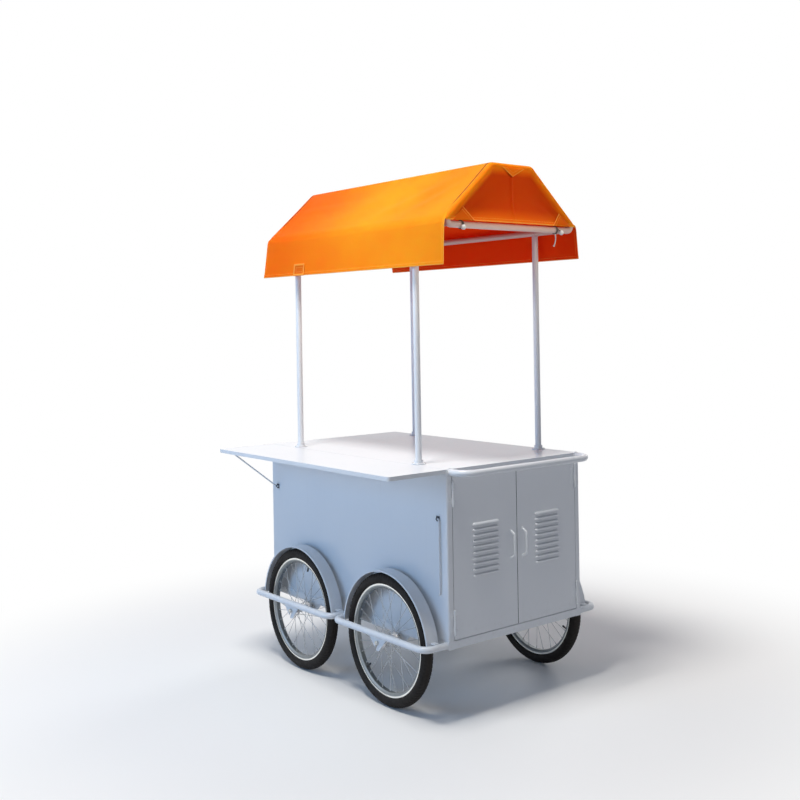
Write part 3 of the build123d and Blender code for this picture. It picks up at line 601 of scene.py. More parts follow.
panelSet = {
    "rows": 20,
    "lastRow": 0.3,  # an extra row this share of a row above the hem
    "hemGap": 0.0015,  # over the chord
    "hemBand": 0.012, "hemProud": 0.0004, "belly": 0.011,
    "bellyTall": 0.2,  # lower parts of the panel stand out less
    "leanFrom": 0.45,  # leans out over the chord from this share of its drop
    "setBack": 0.011,  # behind the rolled edge
    "setBackDrop": 0.018, "setBackTall": 0.10, "slackTall": 0.12, "ripple": 0.0018, "crease": 0.0046,
    "creaseWide": (0.006, 0.018), "tiedAt": 0.255, "pull": 0.0014, "pullRays": 17, "pullReach": 0.16,
    "paintedShadeDrop": (0.006, 0.024),  # the panel's painted shade starts below its rolled edge
    # less painted shade near the hem, where bounce light reaches
    "hemPaintedShade": (0.42, 0.09),
}


def canopyShape():
    s = canopySet
    low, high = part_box("gable_frame_door_end")
    ridgeLow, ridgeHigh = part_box("ridge_tubes")
    cover = nodes["canopy_cover"]
    coverPoints = [cover.matrix_world @ v.co for v in cover.data.vertices]
    shape = {
        "chordZ": low.z + s["tube"],
        "ridgeZ": high.z - s["tube"],
        "kneeY": (high.y - low.y) / 2 - s["tube"] - s["bend"],
        "ridgeY": (ridgeHigh.y - ridgeLow.y) / 2 - s["tube"],
        "endX": (low.x + high.x) / 2 - cartMid.x,
        "frontZ": min(p.z for p in coverPoints if p.y < cartMid.y - s["valanceY"]),
        "rearZ": min(p.z for p in coverPoints if p.y > cartMid.y + s["valanceY"]),
        "off": s["tube"] + s["clear"],
    }
    shape["edgeX"] = shape["endX"] + shape["off"]
    shape["hemZ"] = shape["chordZ"] + s["tube"] + panelSet["hemGap"]
    rise = shape["ridgeZ"] - shape["chordZ"] - 2 * s["bend"]
    shape["pitch"] = atan2(rise, shape["kneeY"] - shape["ridgeY"])
    return shape


canopy = canopyShape()


def halfSection(bottom):
    # ridge's middle to hem: tube middle, outward normal, zone, how far the end wraps round its tube
    s, c = canopySet, canopy
    half = [(y, c["ridgeZ"], 0.0, 1.0, "ridge", 1.0) for y in s["ridgeRows"]]
    slopeAngle = pi / 2 - c["pitch"]
    for a in np.linspace(pi / 2, slopeAngle, s["bendRows"]):
        n = (cos(a), sin(a))
        y, z = c["ridgeY"] + s["bend"] * n[0], c["ridgeZ"] - s["bend"] + s["bend"] * n[1]
        half.append((y, z, *n, "ridge", 1.0))
    n = np.array((cos(slopeAngle), sin(slopeAngle)))
    top = np.array(half[-1][:2])
    foot = np.array((c["kneeY"], c["chordZ"] + s["bend"])) + s["bend"] * n
    for t in np.linspace(0, 1, s["slopeRows"])[1:]:
        half.append((*(top + (foot - top) * t), *n, "slope", 1.0))
    eave = foot + c["off"] * n
    centre = eave - s["turn"] * n
    for a in np.linspace(slopeAngle, s["flare"], s["turnRows"])[1:]:
        n = np.array((cos(a), sin(a)))
        p = centre + s["turn"] * n
        t = min((eave[1] - p[1]) / (eave[1] - c["hemZ"] - s["hemStep"]), 1)
        half.append((*(p - c["off"] * n), *n, "knee", 1 - t * t * (3 - 2 * t)))
    y, z = half[-1][:2]
    c["kneeOut"] = (y + n[0] * c["off"], z + n[1] * c["off"])
    length = (c["kneeOut"][1] - bottom - s["hemUp"]) / cos(s["flare"])
    bandTop, step = length - s["hemBand"], s["hemStep"]
    plain = np.linspace(0, bandTop - step, s["valanceRows"])[1:]
    for t in (*plain, bandTop, bandTop + step, length - s["hemStitch"], length):
        half.append((y + t * sin(s["flare"]), z - t * cos(s["flare"]), *n, "valance", 0.0))
    return half


def cloudAt(x, y, seed):
    return noise.noise(Vector((x, y, seed)))


def pullFold(x, u, fold):
    x0, u0, x1, u1, high, wide = fold
    dx, du = x1 - x0, u1 - u0
    length = hypot(dx, du)
    t = ((x - x0) * dx + (u - u0) * du) / length ** 2
    away = ((x - x0) * du - (u - u0) * dx) / length
    return high * exp(-(away / wide) ** 2) * max(0.0, 1 - (2 * t - 1) ** 2)


def clothLift(x, u, slack, hang, side):  # how far the cloth stands off its smooth section
    s, c = canopySet, canopy
    lift = -s["sag"] * slack
    ripple = cloudAt(x * 1.7, u * 26, 3.1 * side) + 1.2 * cloudAt(x * 4.2, u * 5, 7.7 * side)
    lift += s["ripple"] * slack * ripple
    lift += slack ** 0.5 * sum(pullFold(x * -side, u, fold) for fold in pullSet)
    lift *= 1 - abs(x / c["edgeX"]) ** s["held"]
    lift += s["valanceWave"] * hang ** 1.4 * cloudAt(x * 5.5 + 2, 0.6 * hang, 1.3 * side)
    lift += 0.4 * s["valanceWave"] * hang * cloudAt(x * 14, hang, 5.3 * side)
    if side < 0:
        lift -= s["skew"] * hang * x / c["endX"]
    return lift


def gableX(y, z):  # how far out the gable panel stands
    s, c = panelSet, canopy
    top = float(np.interp(abs(y), c["headY"], c["headZ"]))
    tall = max(top - c["hemZ"], 0.001)
    drop = max(top - z, 0.0)
    lean = min(max((drop / tall - s["leanFrom"]) / (1 - s["leanFrom"]), 0.0), 1.0) ** 2
    back = s["setBack"] * (1 - exp(-(drop / s["setBackDrop"]) ** 2)) * min(tall / s["setBackTall"], 1)
    return c["edgeX"] - back * (1 - lean) + s["belly"] * lean * min(tall / s["bellyTall"], 1) ** 0.8


def newSheet():
    return {"points": [], "uvs": [], "hems": [], "seams": [], "paintedShades": []}


def addPoint(sheet, place, uv, hem, seam=1.0, paintedShade=0.0):
    for values, value in zip(sheet.values(), (place, uv, hem, seam, paintedShade)):
        values.append(value)
    return len(sheet["points"]) - 1


def sheetPiece(name, sheet, faces, *others):
    piece = makePiece(name, sheet["points"], faces, [finishes["canopy_fabric"], *others])
    mesh = piece.data
    place = mesh.uv_layers.new(name="clothPlace")
    for loop in mesh.loops:
        place.data[loop.index].uv = sheet["uvs"][loop.vertex_index]
    for mark, key in (("hemDistance", "hems"), ("seamDistance", "seams"), ("panelShade", "paintedShades")):
        mesh.attributes.new(mark, "FLOAT", "POINT").data.foreach_set("value", sheet[key])
    return piece


def coverSection():  # rows from the serving hem over the ridge to the rear hem, their outline and how it runs
    c = canopy
    front, rear = halfSection(c["frontZ"]), halfSection(c["rearZ"])
    section = [(-y, z, -ny, nz, zone, wrap) for y, z, ny, nz, zone, wrap in reversed(front)] + rear[1:]
    outline = np.array([(y + ny * c["off"], z + nz * c["off"]) for y, z, ny, nz, _, _ in section])
    run = np.concatenate(([0.0], np.cumsum(np.hypot(*np.diff(outline, axis=0).T))))
    return section, outline, run, len(front) - 1


def coverColumns(seamX):  # places along x, and degrees round the end tubes
    s, flatX = canopySet, canopy["endX"]
    inside, outside = s["seamSteps"]
    inner = np.linspace(-1, 1, s["columns"] + 1) * (seamX - inside)
    main = [-flatX, -seamX - outside, -seamX, *inner, seamX, seamX + outside, flatX]
    left, right = ([(x, a) for a in s["wraps"]] for x in (-flatX, flatX))
    return left[::-1] + [(x, 0) for x in main] + right


def addCover(sheet, section, outline, run, middle):  # slopes and valances
    s, c = canopySet, canopy
    off, kneeZ = c["off"], c["kneeOut"][1]
    seamX = c["endX"] - s["seamIn"]
    columns = coverColumns(seamX)
    fromRidge = np.abs(run - run[middle])
    slopeRows = [i for i, row in enumerate(section) if row[4] == "slope" and i > middle]
    slopeStart, slopeEnd = fromRidge[slopeRows[0] - 1], fromRidge[slopeRows[-1]]
    for i, (y, z, ny, nz, zone, wrap) in enumerate(section):
        side = 1 if i > middle else -1
        fromBottom = run[i] if side < 0 else run[-1] - run[i]
        bottom = c["frontZ"] if side < 0 else c["rearZ"]
        t = (fromRidge[i] - slopeStart) / (slopeEnd - slopeStart)
        slack = sin(pi * min(max(t, 0), 1)) if zone == "slope" else 0.0
        hang = max((kneeZ - outline[i][1]) / (kneeZ - bottom), 0) if zone == "valance" else 0.0
        for x, angle in columns:
            sign = 1 if x > 0 else -1
            a = radians(angle * wrap)
            px = x + sign * off * (sin(a) * wrap + (1 - wrap) * angle / 90) if angle else x
            py, pz = y + ny * off * cos(a), z + nz * off * cos(a)
            lift = clothLift(px, fromRidge[i], slack, hang, side)
            if zone == "ridge" and abs(y) < c["ridgeY"]:
                free = 1 - abs(px / c["edgeX"]) ** s["held"]
                lift -= s["ridgeSag"] * s["sag"] * (1 - (y / c["ridgeY"]) ** 2) * free
            if fromBottom < s["hemBand"] - 0.0005:
                lift += s["hemProud"]
            place = (cartMid.x + px, cartMid.y + py + ny * lift, pz + nz * lift)
            hem = min(fromBottom, c["edgeX"] - abs(px)) if wrap < s["wrapLeast"] else 1.0
            seam = abs(px) - seamX if zone != "valance" and not angle else 1.0
            addPoint(sheet, place, (px, run[i]), hem, seam)
    return len(columns)


def panelX(head, y, z, t, sign):  # the gable panel with its ripples, middle crease and pulls
    s, c = panelSet, canopy
    tall = head.z - c["hemZ"]
    slack = sin(pi * t) * min(tall / s["slackTall"], 1)
    x = gableX(y, z) - abs(abs(head.x - cartMid.x) - c["edgeX"]) * (1 - t) ** 6
    x += s["ripple"] * slack * cloudAt(y * 8, z * 5, 8.8 * sign)
    narrow, wide = (exp(-(y / w) ** 2) for w in s["creaseWide"])
    x += s["crease"] * (narrow - 0.5 * wide) * min(max((t - 0.15) / 0.1, 0), 1) * min((1 - t) * 5, 1)
    for tied in (-1, 1):  # soft pulls from the tied corners up to the ridge
        dy, dz = tied * s["tiedAt"] - y, z - c["hemZ"]
        bearing = atan2(dz, abs(dy) + 0.02)
        x += s["pull"] * slack * sin(bearing * s["pullRays"]) * exp(-hypot(dy, dz) / s["pullReach"])
    if (1 - t) * tall < s["hemBand"] and t < 1:
        x += s["hemProud"]
    return x


def addPanel(sheet, faces, above, runs, sign):  # a gable panel hung from the wrapped edge
    s, c = panelSet, canopy
    heads = [Vector(sheet["points"][k]) for k in above]
    for t in (*np.linspace(0, 1, s["rows"])[1:-1], 1 - s["lastRow"] / s["rows"], 1.0):
        below = []
        for head, run in zip(heads, runs):
            y, tall = head.y - cartMid.y, head.z - c["hemZ"]
            z, hem = head.z - tall * t, (1 - t) * tall
            x = panelX(head, y, z, t, sign)
            # painted shade of the gable panel, lighter under the rolled edge and near the hem
            paintedShade = min(1.0, max(t * tall - s["paintedShadeDrop"][0], 0) / s["paintedShadeDrop"][1])
            paintedShade *= min(1.0, s["hemPaintedShade"][0] + hem / s["hemPaintedShade"][1])
            place = (cartMid.x + sign * x, cartMid.y + y, z)
            below.append(addPoint(sheet, place, (sign * (c["edgeX"] + tall * t), run), hem, paintedShade=paintedShade))
        for k in range(len(heads) - 1):
            quad = (above[k], above[k + 1], below[k + 1], below[k])
            faces.append(quad if sign < 0 else quad[::-1])
        above = below


def canopyCloth():
    s, c = canopySet, canopy
    sheet = newSheet()
    section, outline, run, middle = coverSection()
    wide = addCover(sheet, section, outline, run, middle)
    faces = gridFaces(len(section), wide)
    hung = [i for i, row in enumerate(section) if row[5] > s["wrapLeast"]]
    rearEdge = [sheet["points"][i * wide] for i in hung if i >= middle]
    c["headY"], c["headZ"] = zip(*sorted((p[1] - cartMid.y, p[2]) for p in rearEdge))
    for sign, edge in ((-1, 0), (1, wide - 1)):
        addPanel(sheet, faces, [i * wide + edge for i in hung], [run[i] for i in hung], sign)
    cloth = sheetPiece("canopyCloth", sheet, faces, extras["inside"])
    shell = thicken(cloth, s["thick"])
    shell.offset = 0.0
    shell.material_offset = 1
    fine = cloth.modifiers.new("fine", "SUBSURF")
    fine.levels = fine.render_levels = 1
    area = sum(p.area for p in cloth.data.polygons)
    flat = (float(run[-1]), 2 * (c["edgeX"] + c["ridgeZ"] - c["hemZ"]))
    return cloth, flat, area


cloth, clothFlat, clothArea = canopyCloth()
settle(cloth, "cart_body", "canopy_fabric", "canopy_cover")
print("canopy cloth cut", [round(v, 3) for v in clothFlat], "area", round(clothArea, 3))


# turned folds on the gable panels, strap tab on the serving valance

foldSet = {
    # peakPaintedShade and cornerPaintedShade: how much of the gable's painted shade each fold takes
    "peakHalf": 0.058, "peakDrop": 0.034, "peakPaintedShade": 0.1, "peakLoose": 0.006,
    "under": 0.002,  # the peak fold starts this far below the ridge tube's middle
    "hem": 0.100, "hemUp": 0.0008, "slope": 0.075, "cornerPaintedShade": 0.6, "lie": 0.0011, "proud": 0.0016,
    "rollAt": 0.002, "rollWide": 0.003, "ripple": 0.0003, "edgeIn": 0.0006, "thick": 0.0008,
    "steps": 16,
}
tabSet = {
    "x": (-0.372, -0.288), "z": (1.6515, 1.704), "lie": 0.0014, "proud": 0.0024, "border": 0.010,
    "borderSoft": 0.0012, "paintedShade": 0.4, "edgeIn": 0.0004, "thick": 0.001, "rows": 16, "columns": 22,
}


def foldPatch(name, outline, sign, openAt, paintedShade, loose=0.0):
    # three-cornered fold lying on the panel; its open edges lie opposite the corners listed
    s = foldSet
    n = s["steps"]
    sheet, faces, index = newSheet(), [], {}
    ends = [Vector((0, *p)) for p in outline]
    facing = (ends[1] - ends[0]).cross(ends[2] - ends[0])
    heights = [facing.length / (ends[(k + 1) % 3] - ends[(k + 2) % 3]).length for k in range(3)]
    for i in range(n + 1):
        for j in range(n + 1 - i):
            weights = (1 - (i + j) / n, i / n, j / n)
            p = sum((e * w for e, w in zip(ends, weights)), Vector())
            fromOpen = min(weights[k] * heights[k] for k in openAt)
            roll = exp(-((fromOpen - s["rollAt"]) / s["rollWide"]) ** 2)  # the fold's edge is a soft roll
            tight = sum(gableX(e.y, e.z) * w for e, w in zip(ends, weights))  # drawn between its corners
            x = max(tight, gableX(p.y, p.z)) + s["lie"] + s["proud"] * (0.45 + 0.75 * roll)
            x += s["ripple"] * cloudAt(p.y * 30, p.z * 30, 4.0) + loose * weights[2]
            place = (cartMid.x + sign * x, cartMid.y + p.y, p.z)
            index[i, j] = addPoint(sheet, place, (p.y, p.z), fromOpen + s["edgeIn"], paintedShade=paintedShade)
    for i in range(n):
        for j in range(n - i):
            faces.append((index[i, j], index[i + 1, j], index[i, j + 1]))
            if i + j < n - 1:
                faces.append((index[i + 1, j], index[i + 1, j + 1], index[i, j + 1]))
    patch = sheetPiece(name, sheet, faces if facing.x * sign > 0 else [f[::-1] for f in faces])
    thicken(patch, s["thick"])
    return patch


def turnedFolds():
    s, c = foldSet, canopy
    made = []
    top, hem, y = c["ridgeZ"] - s["under"], c["hemZ"] + s["hemUp"], c["kneeY"]
    inY, inZ = s["slope"] * cos(c["pitch"]), s["slope"] * sin(c["pitch"])
    for sign, end in ((1, "door"), (-1, "plain")):
        peak = ((-s["peakHalf"], top), (s["peakHalf"], top), (0, top - s["peakDrop"]))
        made.append(foldPatch(end + "PeakFold", peak, sign, (0, 1), s["peakPaintedShade"], s["peakLoose"]))
        for side, where in ((-1, "Front"), (1, "Rear")):
            corner = ((side * (y - s["hem"]), hem), (side * y, hem), (side * (y - inY), hem + inZ))
            made.append(foldPatch(end + where + "CornerFold", corner, sign, (1,), s["cornerPaintedShade"]))
    return made


def strapTab():
    s, c = tabSet, canopy
    sheet = newSheet()
    kneeY, kneeZ = c["kneeOut"]
    for z in np.linspace(*s["z"], s["rows"]):
        for x in np.linspace(*s["x"], s["columns"]):
            hang = (kneeZ - z) / (kneeZ - c["frontZ"])
            y = kneeY + (kneeZ - z) * tan(canopySet["flare"]) + clothLift(x, 0, 0, hang, -1)
            edge = min(x - s["x"][0], s["x"][1] - x, z - s["z"][0], s["z"][1] - z)
            rim = 1 / (1 + exp((edge - s["border"]) / s["borderSoft"]))
            place = (cartMid.x + x, cartMid.y - y - s["lie"] - s["proud"] * (0.15 + 0.85 * rim), z)
            hem = abs(edge - s["border"] * 0.5) + s["edgeIn"]
            # painted shade in the tab's recessed middle, none on its raised border
            addPoint(sheet, place, (x, z), hem, paintedShade=s["paintedShade"] * (1 - rim))
    tab = sheetPiece("valanceStrapTab", sheet, gridFaces(s["rows"], s["columns"]))
    thicken(tab, s["thick"])
    return tab


sewnOn = turnedFolds() + [strapTab()]
for piece in sewnOn:
    settle(piece, "cart_body", "canopy_fabric", "canopy_cover")
print("folds and tab sewn on,", len(sewnOn))


# wheels: tyres with tread, valves, nipples and spoke heads

tyreSet = {
    "radius": 0.250, "section": 0.023, "seat": 0.2112, "bead": 0.004, "across": 47, "blocks": 96,
    "perBlock": 6, "groove": 0.0011,
    "grooves": ((9, 13), (30, 34)),  # degrees round the section
    "tread": (13, 58), "blockGap": 0.3, "blockSlant": 60, "rib": 0.0004, "ribs": (66, 82, 100),
    "ribWide": 2.2,
}
valveSet = {
    "turns": {"front_door_end": 224.0, "front_plain_end": 74.0, "rear_door_end": -23.0,
              "rear_plain_end": 150.0},
    "rim": 0.194,
    "stem": ((0.0, 0.0), (0.0042, 0.0), (0.0042, 0.002), (0.0033, 0.0028), (0.0030, 0.012), (0.0036, 0.0125),
             (0.0038, 0.014), (0.0038, 0.0225), (0.0032, 0.0245), (0.0020, 0.0250), (0.0, 0.0250)),
    "steps": 16,
}
spokeSet = {
    "count": 28, "crosses": 2, "flange": 0.029, "flangeThick": 0.003, "circle": 0.021, "wire": 0.001,
    "lift": 0.0009, "rim": 0.1936, "rimOffset": 0.002, "steps": 8,
    "nipple": ((0.0, 0), (0.002185, 0), (0.002185, 0.0012), (0.0019, 0.0018), (0.0019, 0.00792),
               (0.001368, 0.011), (0.0, 0.011)),
    "head": ((0.0, 0), (0.0022, 0), (0.0022, 0.0006), (0.0014, 0.0013), (0.0, 0.0014)),
    "elbow": ((0.0, -0.0012), (0.0011, -0.0008), (0.0011, 0.002), (0.0, 0.002)),
}


def treadDepth(k, a):  # how far the tyre's skin lies below its full section
    s = tyreSet
    wide = abs(degrees(a))
    depth = 0.0
    if wide < s["tread"][1]:
        step = (k + (0 if a > 0 else s["perBlock"] // 2)) / s["perBlock"] + wide / s["blockSlant"]
        inGroove = any(low < wide < high for low, high in s["grooves"])
        if inGroove or (wide >= s["tread"][0] and step % 1 < s["blockGap"]):
            depth = s["groove"]
    for rib in s["ribs"]:
        depth -= s["rib"] * exp(-((wide - rib) / s["ribWide"]) ** 2)
    return max(depth, -s["rib"]) + (s["rib"] if wide > s["tread"][1] else 0)


def tyreForm():
    s = tyreSet
    middle = s["radius"] - s["section"]
    rows = s["blocks"] * s["perBlock"]
    seatAngle = acos((s["seat"] - middle) / s["section"])
    angles = np.linspace(-seatAngle, seatAngle, s["across"])
    inside = (s["section"] - s["bead"]) * sin(seatAngle)
    points = []
    for k in range(rows):
        turn = 2 * pi * k / rows
        for a in angles:
            out = s["section"] - treadDepth(k, a)
            r = middle + out * cos(a)
            points.append((r * cos(turn), out * sin(a), r * sin(turn)))
        for y in (inside, -inside):
            points.append((s["seat"] * cos(turn), y, s["seat"] * sin(turn)))
    return points, gridFaces(rows, len(angles) + 2, wrapRows=True, wrapColumns=True)


def valveForm():
    s = valveSet
    points, faces = [], []
    lathe(points, faces, s["stem"], (s["rim"], 0, 0), (-1, 0, 0), s["steps"])
    return points, faces


def nippleForm():
    s = spokeSet
    points, faces = [], []
    perSide = s["count"] // 2
    step = 2 * pi / perSide
    away = {1: s["flangeThick"] / 2 + s["wire"] + s["lift"], -1: s["flangeThick"] / 2 + s["wire"]}
    for side in (-1, 1):
        for n in range(perSide):
            leading = 1 if n % 2 else -1
            atRim = n * step + (step / 2 if side > 0 else 0)
            atHub = atRim + leading * step * s["crosses"]
            startY = side * (s["flange"] + leading * away[leading])
            hubEnd = Vector((s["circle"] * cos(atHub), startY, s["circle"] * sin(atHub)))
            rimEnd = Vector((s["rim"] * cos(atRim), side * s["rimOffset"], s["rim"] * sin(atRim)))
            inward = Vector((0, -side * leading, 0))
            flange = Vector((hubEnd.x, side * (s["flange"] - leading * s["flangeThick"] / 2), hubEnd.z))
            for form, place, axis in (("nipple", rimEnd, (hubEnd - rimEnd).normalized()),
                                      ("head", flange, inward), ("elbow", hubEnd, inward)):
                lathe(points, faces, s[form], place, axis, s["steps"])
    return points, faces


def wheels():
    forms = {"tyre": (tyreForm(), "tyre_rubber"), "nipples": (nippleForm(), "spoke_steel")}
    valvePoints, valveFaces = valveForm()
    meshes = {}
    for corner, end, side in corners:
        low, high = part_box("rim_" + corner)
        middle = Matrix.Translation((low + high) / 2)
        body = "wheel_" + corner
        for kind, ((points, faces), slotName) in forms.items():
            if kind in meshes:
                piece = placeMesh(kind + corner, meshes[kind])
            else:
                piece = makePiece(kind + corner, points, faces, [finishes[slotName]])
                meshes[kind] = piece.data
            piece.matrix_world = middle
            settle(piece, body, slotName, *(["tyre_" + corner] if kind == "tyre" else []))
        valve = makePiece("valve" + corner, valvePoints, valveFaces, [extras["valve"]])
        valve.matrix_world = middle @ Matrix.Rotation(-radians(valveSet["turns"][corner]), 4, "Y")
        settle(valve, body, "tyre_rubber")


wheels()
print("wheels dressed")


# ties: elastic loop round the chord with a moulded ball

tieSet = {
    "at": panelSet["tiedAt"], "loop": 0.0018, "clear": 0.0004, "pair": 0.0023, "ball": 0.0098,
    "bore": 0.0016, "ballOut": 0.001, "ballDown": 0.0105, "slackAside": 0.021, "tail": 0.046,
    "tailRadius": 0.0024, "knot": 0.0034,
}


def slackTail(middle, aside, ring, balls, bands):  # the band has crept along the chord and its tail hangs
    s = tieSet
    foot = middle + aside + Vector((0.004, -0.001, -ring - s["loop"]))
    stops = np.linspace(0, 1, 14)
    path = [foot + Vector((0.004 * sin(t * 2.2), -0.012 * t * t, -s["tail"] * t)) for t in stops]
    sweep(*balls, path, s["tailRadius"], 10)
    knot = [(s["knot"] * cos(a) + 0.0004, s["knot"] * sin(a)) for a in np.linspace(-1.4, 1.4, 9)]
    lathe(*balls, knot, path[-1], (0, 0.3, 1), 14)
    out = ring + s["ballOut"]
    back = [middle + aside * (1 - t) + Vector((out, 0, 0.004 - 0.012 * t)) for t in np.linspace(0, 0.6, 8)]
    sweep(*bands, back, s["loop"], 8)


def canopyTies():
    s, c = tieSet, canopy
    balls, bands = ([], []), ([], [])  # points and faces
    ring = canopySet["tube"] + s["clear"] + s["loop"]
    end = (s["bore"], s["ball"] * 0.98)
    profile = [(end[0], -end[1])]
    profile += [(s["ball"] * cos(a), s["ball"] * sin(a)) for a in np.linspace(-1.35, 1.35, 15)]
    profile += [end, (end[0], -end[1])]
    turn = np.linspace(0, 2 * pi, 28, endpoint=False)
    for sign in (-1, 1):
        for side in (-1, 1):
            middle = Vector((cartMid.x + sign * c["endX"], cartMid.y + side * s["at"], c["chordZ"]))
            isSlack = sign > 0 and side > 0
            aside = Vector((0, -s["slackAside"] if isSlack else 0, 0))
            for shift in (-s["pair"], s["pair"]):
                path = [middle + aside + Vector((ring * cos(a), shift, ring * sin(a))) for a in turn]
                sweep(*bands, path, s["loop"], 8, closed=True)
            if isSlack:
                slackTail(middle, aside, ring, balls, bands)
            centre = middle + Vector((sign * (ring + s["ballOut"]), 0, -s["ballDown"]))
            lathe(*balls, profile, centre, (0, 1, 0), 24)
    addPiece("tieBalls", balls, "cart_body", "tie_plastic", "canopy_ties")
    addPiece("tieBands", bands, "cart_body", "tie_plastic", "canopy_ties", finish=extras["elastic"])


canopyTies()
print("ties made")


# screws and weld beads

screwSet = {"head": 0.0034, "rise": 0.0017, "slot": 0.00055, "slotDeep": 0.0009, "arm": 0.0019, "rings": 9,
            "steps": 32}
beadSet = {"thick": 0.0019, "ring": 0.0132, "steps": 48, "sides": 7, "wander": 0.0004, "rise": 0.0003,
           "swell": 0.22}
# places in cabinet millimetres
hingeSet = {"axisY": 319.25, "leaf": 12.8, "faceX": 604.5, "bottoms": (320.5, 786.5), "screws": (12.0, 68.0)}
bracketSet = {"x": 553, "y": -347, "z": 734, "screws": (-11.5, 11.5)}
footSet = {"x": 408, "z": 920, "circle": 0.022, "screws": (45, 135, 225, 315)}
weldSet = {"wheelX": 303, "legs": (-285, 285), "legY": 346, "legZ": 281, "handle": (604, 329, 905)}


def screwHead(points, faces, place, axis, turn):
    s = screwSet
    matrix = turned(axis) @ Matrix.Rotation(turn, 3, "Z")
    start = len(points)
    for r in range(s["rings"]):
        t = r / (s["rings"] - 1)
        radius = s["head"] * t
        for k in range(s["steps"]):
            a = 2 * pi * k / s["steps"]
            x, y = radius * cos(a), radius * sin(a)
            z = s["rise"] * sqrt(max(0.0, 1 - t ** 2.6))
            if (abs(x) < s["slot"] or abs(y) < s["slot"]) and radius < s["arm"]:
                z -= s["slotDeep"]
            points.append(Vector(place) + matrix @ Vector((x, y, z)))
    faces += gridFaces(s["rings"], s["steps"], start, wrapColumns=True)


def weldBead(points, faces, place, axis, seed):
    s = beadSet
    matrix = turned(axis)
    path = []
    for k in range(s["steps"]):
        a = 2 * pi * k / s["steps"]
        r = s["ring"] + s["wander"] * sin(k * 1.9 + seed)
        rise = s["rise"] * sin(k * 2.3 + seed)
        path.append(Vector(place) + matrix @ Vector((r * cos(a), r * sin(a), rise)))
    start = len(points)
    sweep(points, faces, path, s["thick"], s["sides"], closed=True)
    for k in range(s["steps"]):
        ring = range(start + k * s["sides"], start + (k + 1) * s["sides"])
        middle = sum((points[j] for j in ring), Vector()) / s["sides"]
        swell = 1 + s["swell"] * sin(k * 2.1 + seed)
        for j in ring:
            points[j] = middle + (points[j] - middle) * swell


def hingeScrews():
    s = hingeSet
    onPosts = ([], [])
    for side, name in ((-1, "front"), (1, "rear")):
        onDoor = ([], [])
        for bottom in s["bottoms"]:
            for n, up in enumerate(s["screws"]):
                for held, leaf, turn in ((onDoor, -s["leaf"], 0.7), (onPosts, s["leaf"], 1.1)):
                    place = onCart(s["faceX"], side * (s["axisY"] + leaf), bottom + up)
                    screwHead(*held, place, (1, 0, 0), turn * n + bottom)
        addPiece("hingeScrews" + name.capitalize(), onDoor, "door_" + name, "white_paint")
    addPiece("hingePostScrews", onPosts, "cart_body", "white_paint")


def frameScrews():
    s, f = bracketSet, footSet
    held = ([], [])
    for end in (-1, 1):
        for up in s["screws"]:
            screwHead(*held, onCart(end * s["x"], s["y"], s["z"] + up), (0, -1, 0), 0.4 * up)
    addPiece("stayBracketScrews", held, "cart_body", "white_paint", finish=extras["bracket"])
    fixed = ([], [])
    for corner, end, side in corners:
        low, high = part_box("canopy_post_" + corner)
        postY = (low.y + high.y) / 2 - cartMid.y
        for k, angle in enumerate(f["screws"]):
            a = radians(angle)
            place = onCart(end * f["x"], 0, f["z"])
            place += Vector((f["circle"] * cos(a), postY + f["circle"] * sin(a), 0))
            screwHead(*fixed, place, (0, 0, 1), k * 0.5 + end)
    addPiece("frameScrews", fixed, "cart_body", "zinc")


def weldBeads():
    s = weldSet
    beads = ([], [])
    for corner, end, side in corners:
        for leg in s["legs"]:
            place = onCart(end * s["wheelX"] + leg, side * s["legY"], s["legZ"])
            weldBead(*beads, place, (0, side, 0), leg + end)
    x, y, z = s["handle"]
    for side in (-1, 1):
        weldBead(*beads, onCart(x, side * y, z), (1, 0, 0), side)
    addPiece("weldBeads", beads, "cart_body", "white_paint")


hingeScrews()
frameScrews()
weldBeads()
print("screws and welds made")


# floor, light, camera

stageSet = {
    "floor": (0.87, 0.855, 0.83), "floorShade": (0.855, 0.84, 0.815), "rough": 0.75,
    "pavement": (0.50, 0.51, 0.53),  # what the floor throws back at the cart
    "reach": 14.0, "grid": 9,
    "white": (1.0, 2.4),  # the floor turns to plain white between these distances
    "sky": (0.84, 0.91, 1.10), "skyLevel": 0.205,
    "mirrored": ("overhead", "servingSide"),  # the other lamps would burn out pale tops
    "spotBlend": 0.6,
}
lampSet = (
    # name, place, aim, size, watts, colour, cone in degrees for a spot
    ("overhead", (0.54, -1.95, 6.2), (0.1, 0.0, 0.9), 1.5, 275.0, (1.0, 0.985, 0.955), None),
    ("servingSide", (-1.6, -5.2, 2.0), (0.0, 0.0, 0.8), 3.0, 88.0, (0.25, 0.58, 1.06), None),
    ("rearSide", (-1.8, 5.6, 2.6), (0.0, 0.0, 0.9), 3.0, 125.0, (0.97, 0.98, 1.0), None),
    ("plainEnd", (-5.8, -0.3, 2.2), (0.0, 0.0, 0.9), 3.0, 30.0, (0.97, 0.98, 1.0), None),
    ("onValance", (-0.5, -4.9, 2.5), (0.12, -0.2, 1.84), 0.5, 245.0, (1.0, 0.92, 0.74), 20),
    ("onGable", (3.3, 0.6, 2.4), (0.56, 0.07, 1.90), 0.4, 185.0, (1.0, 0.84, 0.62), 22),
)


def seenRay():  # camera, mirror and glass rays
    path = addNode("LightPath", {}).outputs
    seen = sums("MAXIMUM", path["Is Camera Ray"], path["Is Glossy Ray"])
    return sums("MAXIMUM", seen, path["Is Transmission Ray"])


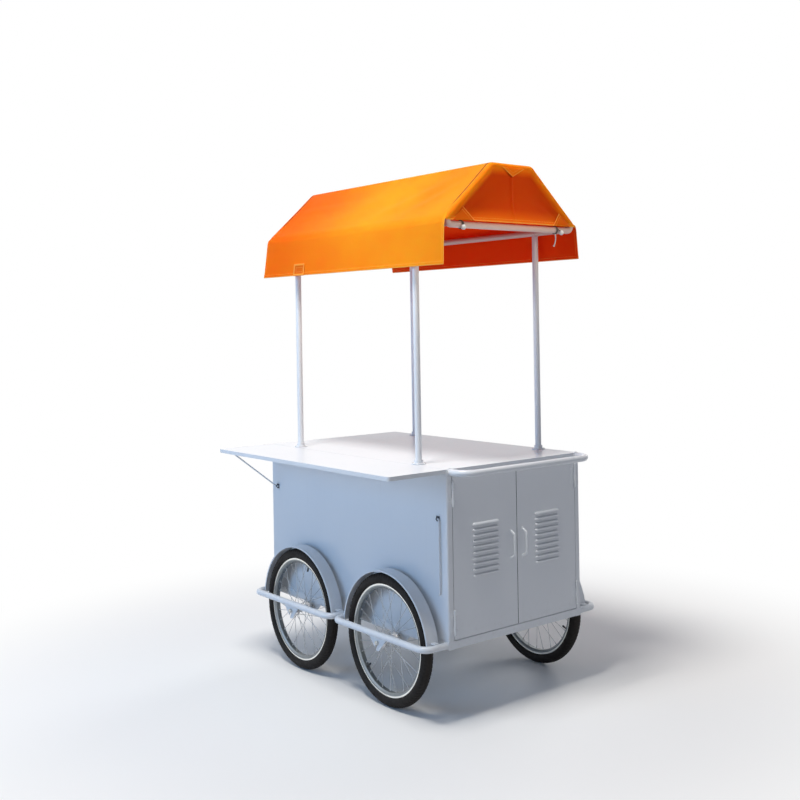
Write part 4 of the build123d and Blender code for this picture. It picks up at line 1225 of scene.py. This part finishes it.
def paleFloor():
    s = stageSet
    material = startFinish("paleFloor", s["floor"], s["rough"], {"Specular IOR Level": 0.2})
    place = objectPlace()
    seen = seenRay()
    pale = layer(clouds(place, 1.5, 6.0), s["floorShade"], s["floor"])
    tint(layer(seen, s["pavement"], pale), s["rough"])
    length = addNode("VectorMath", {0: place}, operation="LENGTH").outputs["Value"]
    far = times(seen, remap(length, *s["white"]))
    plain = addNode("Emission", {})
    blend = addNode("MixShader", {0: far, 1: pen["shader"].outputs[0], 2: plain.outputs[0]})
    feed(pen["tree"].nodes["Material Output"].inputs["Surface"], blend.outputs[0])
    return material


def makeLamp(name, place, aim, size, watts, colour, cone):
    lamp = bpy.data.lights.new(name, "SPOT" if cone else "AREA")
    if cone:
        lamp.spot_size = radians(cone)
        lamp.spot_blend = stageSet["spotBlend"]
        lamp.shadow_soft_size = size
    else:
        lamp.shape = "DISK"
        lamp.size = size
    lamp.energy = watts
    lamp.color = colour
    holder = bpy.data.objects.new(name, lamp)
    holder.location = place
    holder.visible_glossy = name in stageSet["mirrored"]
    holder.rotation_euler = (Vector(aim) - Vector(place)).to_track_quat("-Z", "Y").to_euler()
    scene.collection.objects.link(holder)


def makeStage():
    s = stageSet
    marks = np.linspace(-s["reach"], s["reach"], s["grid"])
    points = [(x, y, 0.0) for y in marks for x in marks]
    floor = makePiece("paleFloor", points, gridFaces(s["grid"], s["grid"]), [paleFloor()])
    world = bpy.data.worlds.new("studio")
    scene.world = world
    world.use_nodes = True
    pen["tree"] = world.node_tree
    background = pen["tree"].nodes["Background"]
    seen = seenRay()
    feed(background.inputs["Color"], layer(seen, s["sky"], (1.0, 1.0, 1.0)))
    feed(background.inputs["Strength"], remap(seen, 0.0, 1.0, s["skyLevel"], 1.0))
    for values in lampSet:
        makeLamp(*values)


cameraSet = {
    "place": (3.497, -2.7293, 1.4452), "yaw": 50.319, "pitch": 0.054, "roll": -0.956,
    "focalPixels": 1067.978, "middlePixel": (438.452, 323.111), "image": 800, "sensor": 36, "far": 100,
}


def makeCamera():
    s = cameraSet
    a, e, roll = (radians(s[k]) for k in ("yaw", "pitch", "roll"))
    back = Vector((sin(a) * cos(e), -cos(a) * cos(e), sin(e)))
    right = Vector((cos(a), sin(a), 0))
    up = back.cross(right)
    right, up = right * cos(roll) + up * sin(roll), up * cos(roll) - right * sin(roll)
    data = bpy.data.cameras.new("photoView")
    data.sensor_width = s["sensor"]
    data.lens = s["focalPixels"] / s["image"] * s["sensor"]
    data.shift_x = 0.5 - s["middlePixel"][0] / s["image"]
    data.shift_y = s["middlePixel"][1] / s["image"] - 0.5
    data.clip_end = s["far"]
    camera = bpy.data.objects.new("photoView", data)
    camera.matrix_world = Matrix.Translation(s["place"]) @ Matrix((right, up, back)).transposed().to_4x4()
    scene.collection.objects.link(camera)
    scene.camera = camera


makeStage()
makeCamera()
scene.view_settings.view_transform = "Standard"
print("stage, light and camera set")
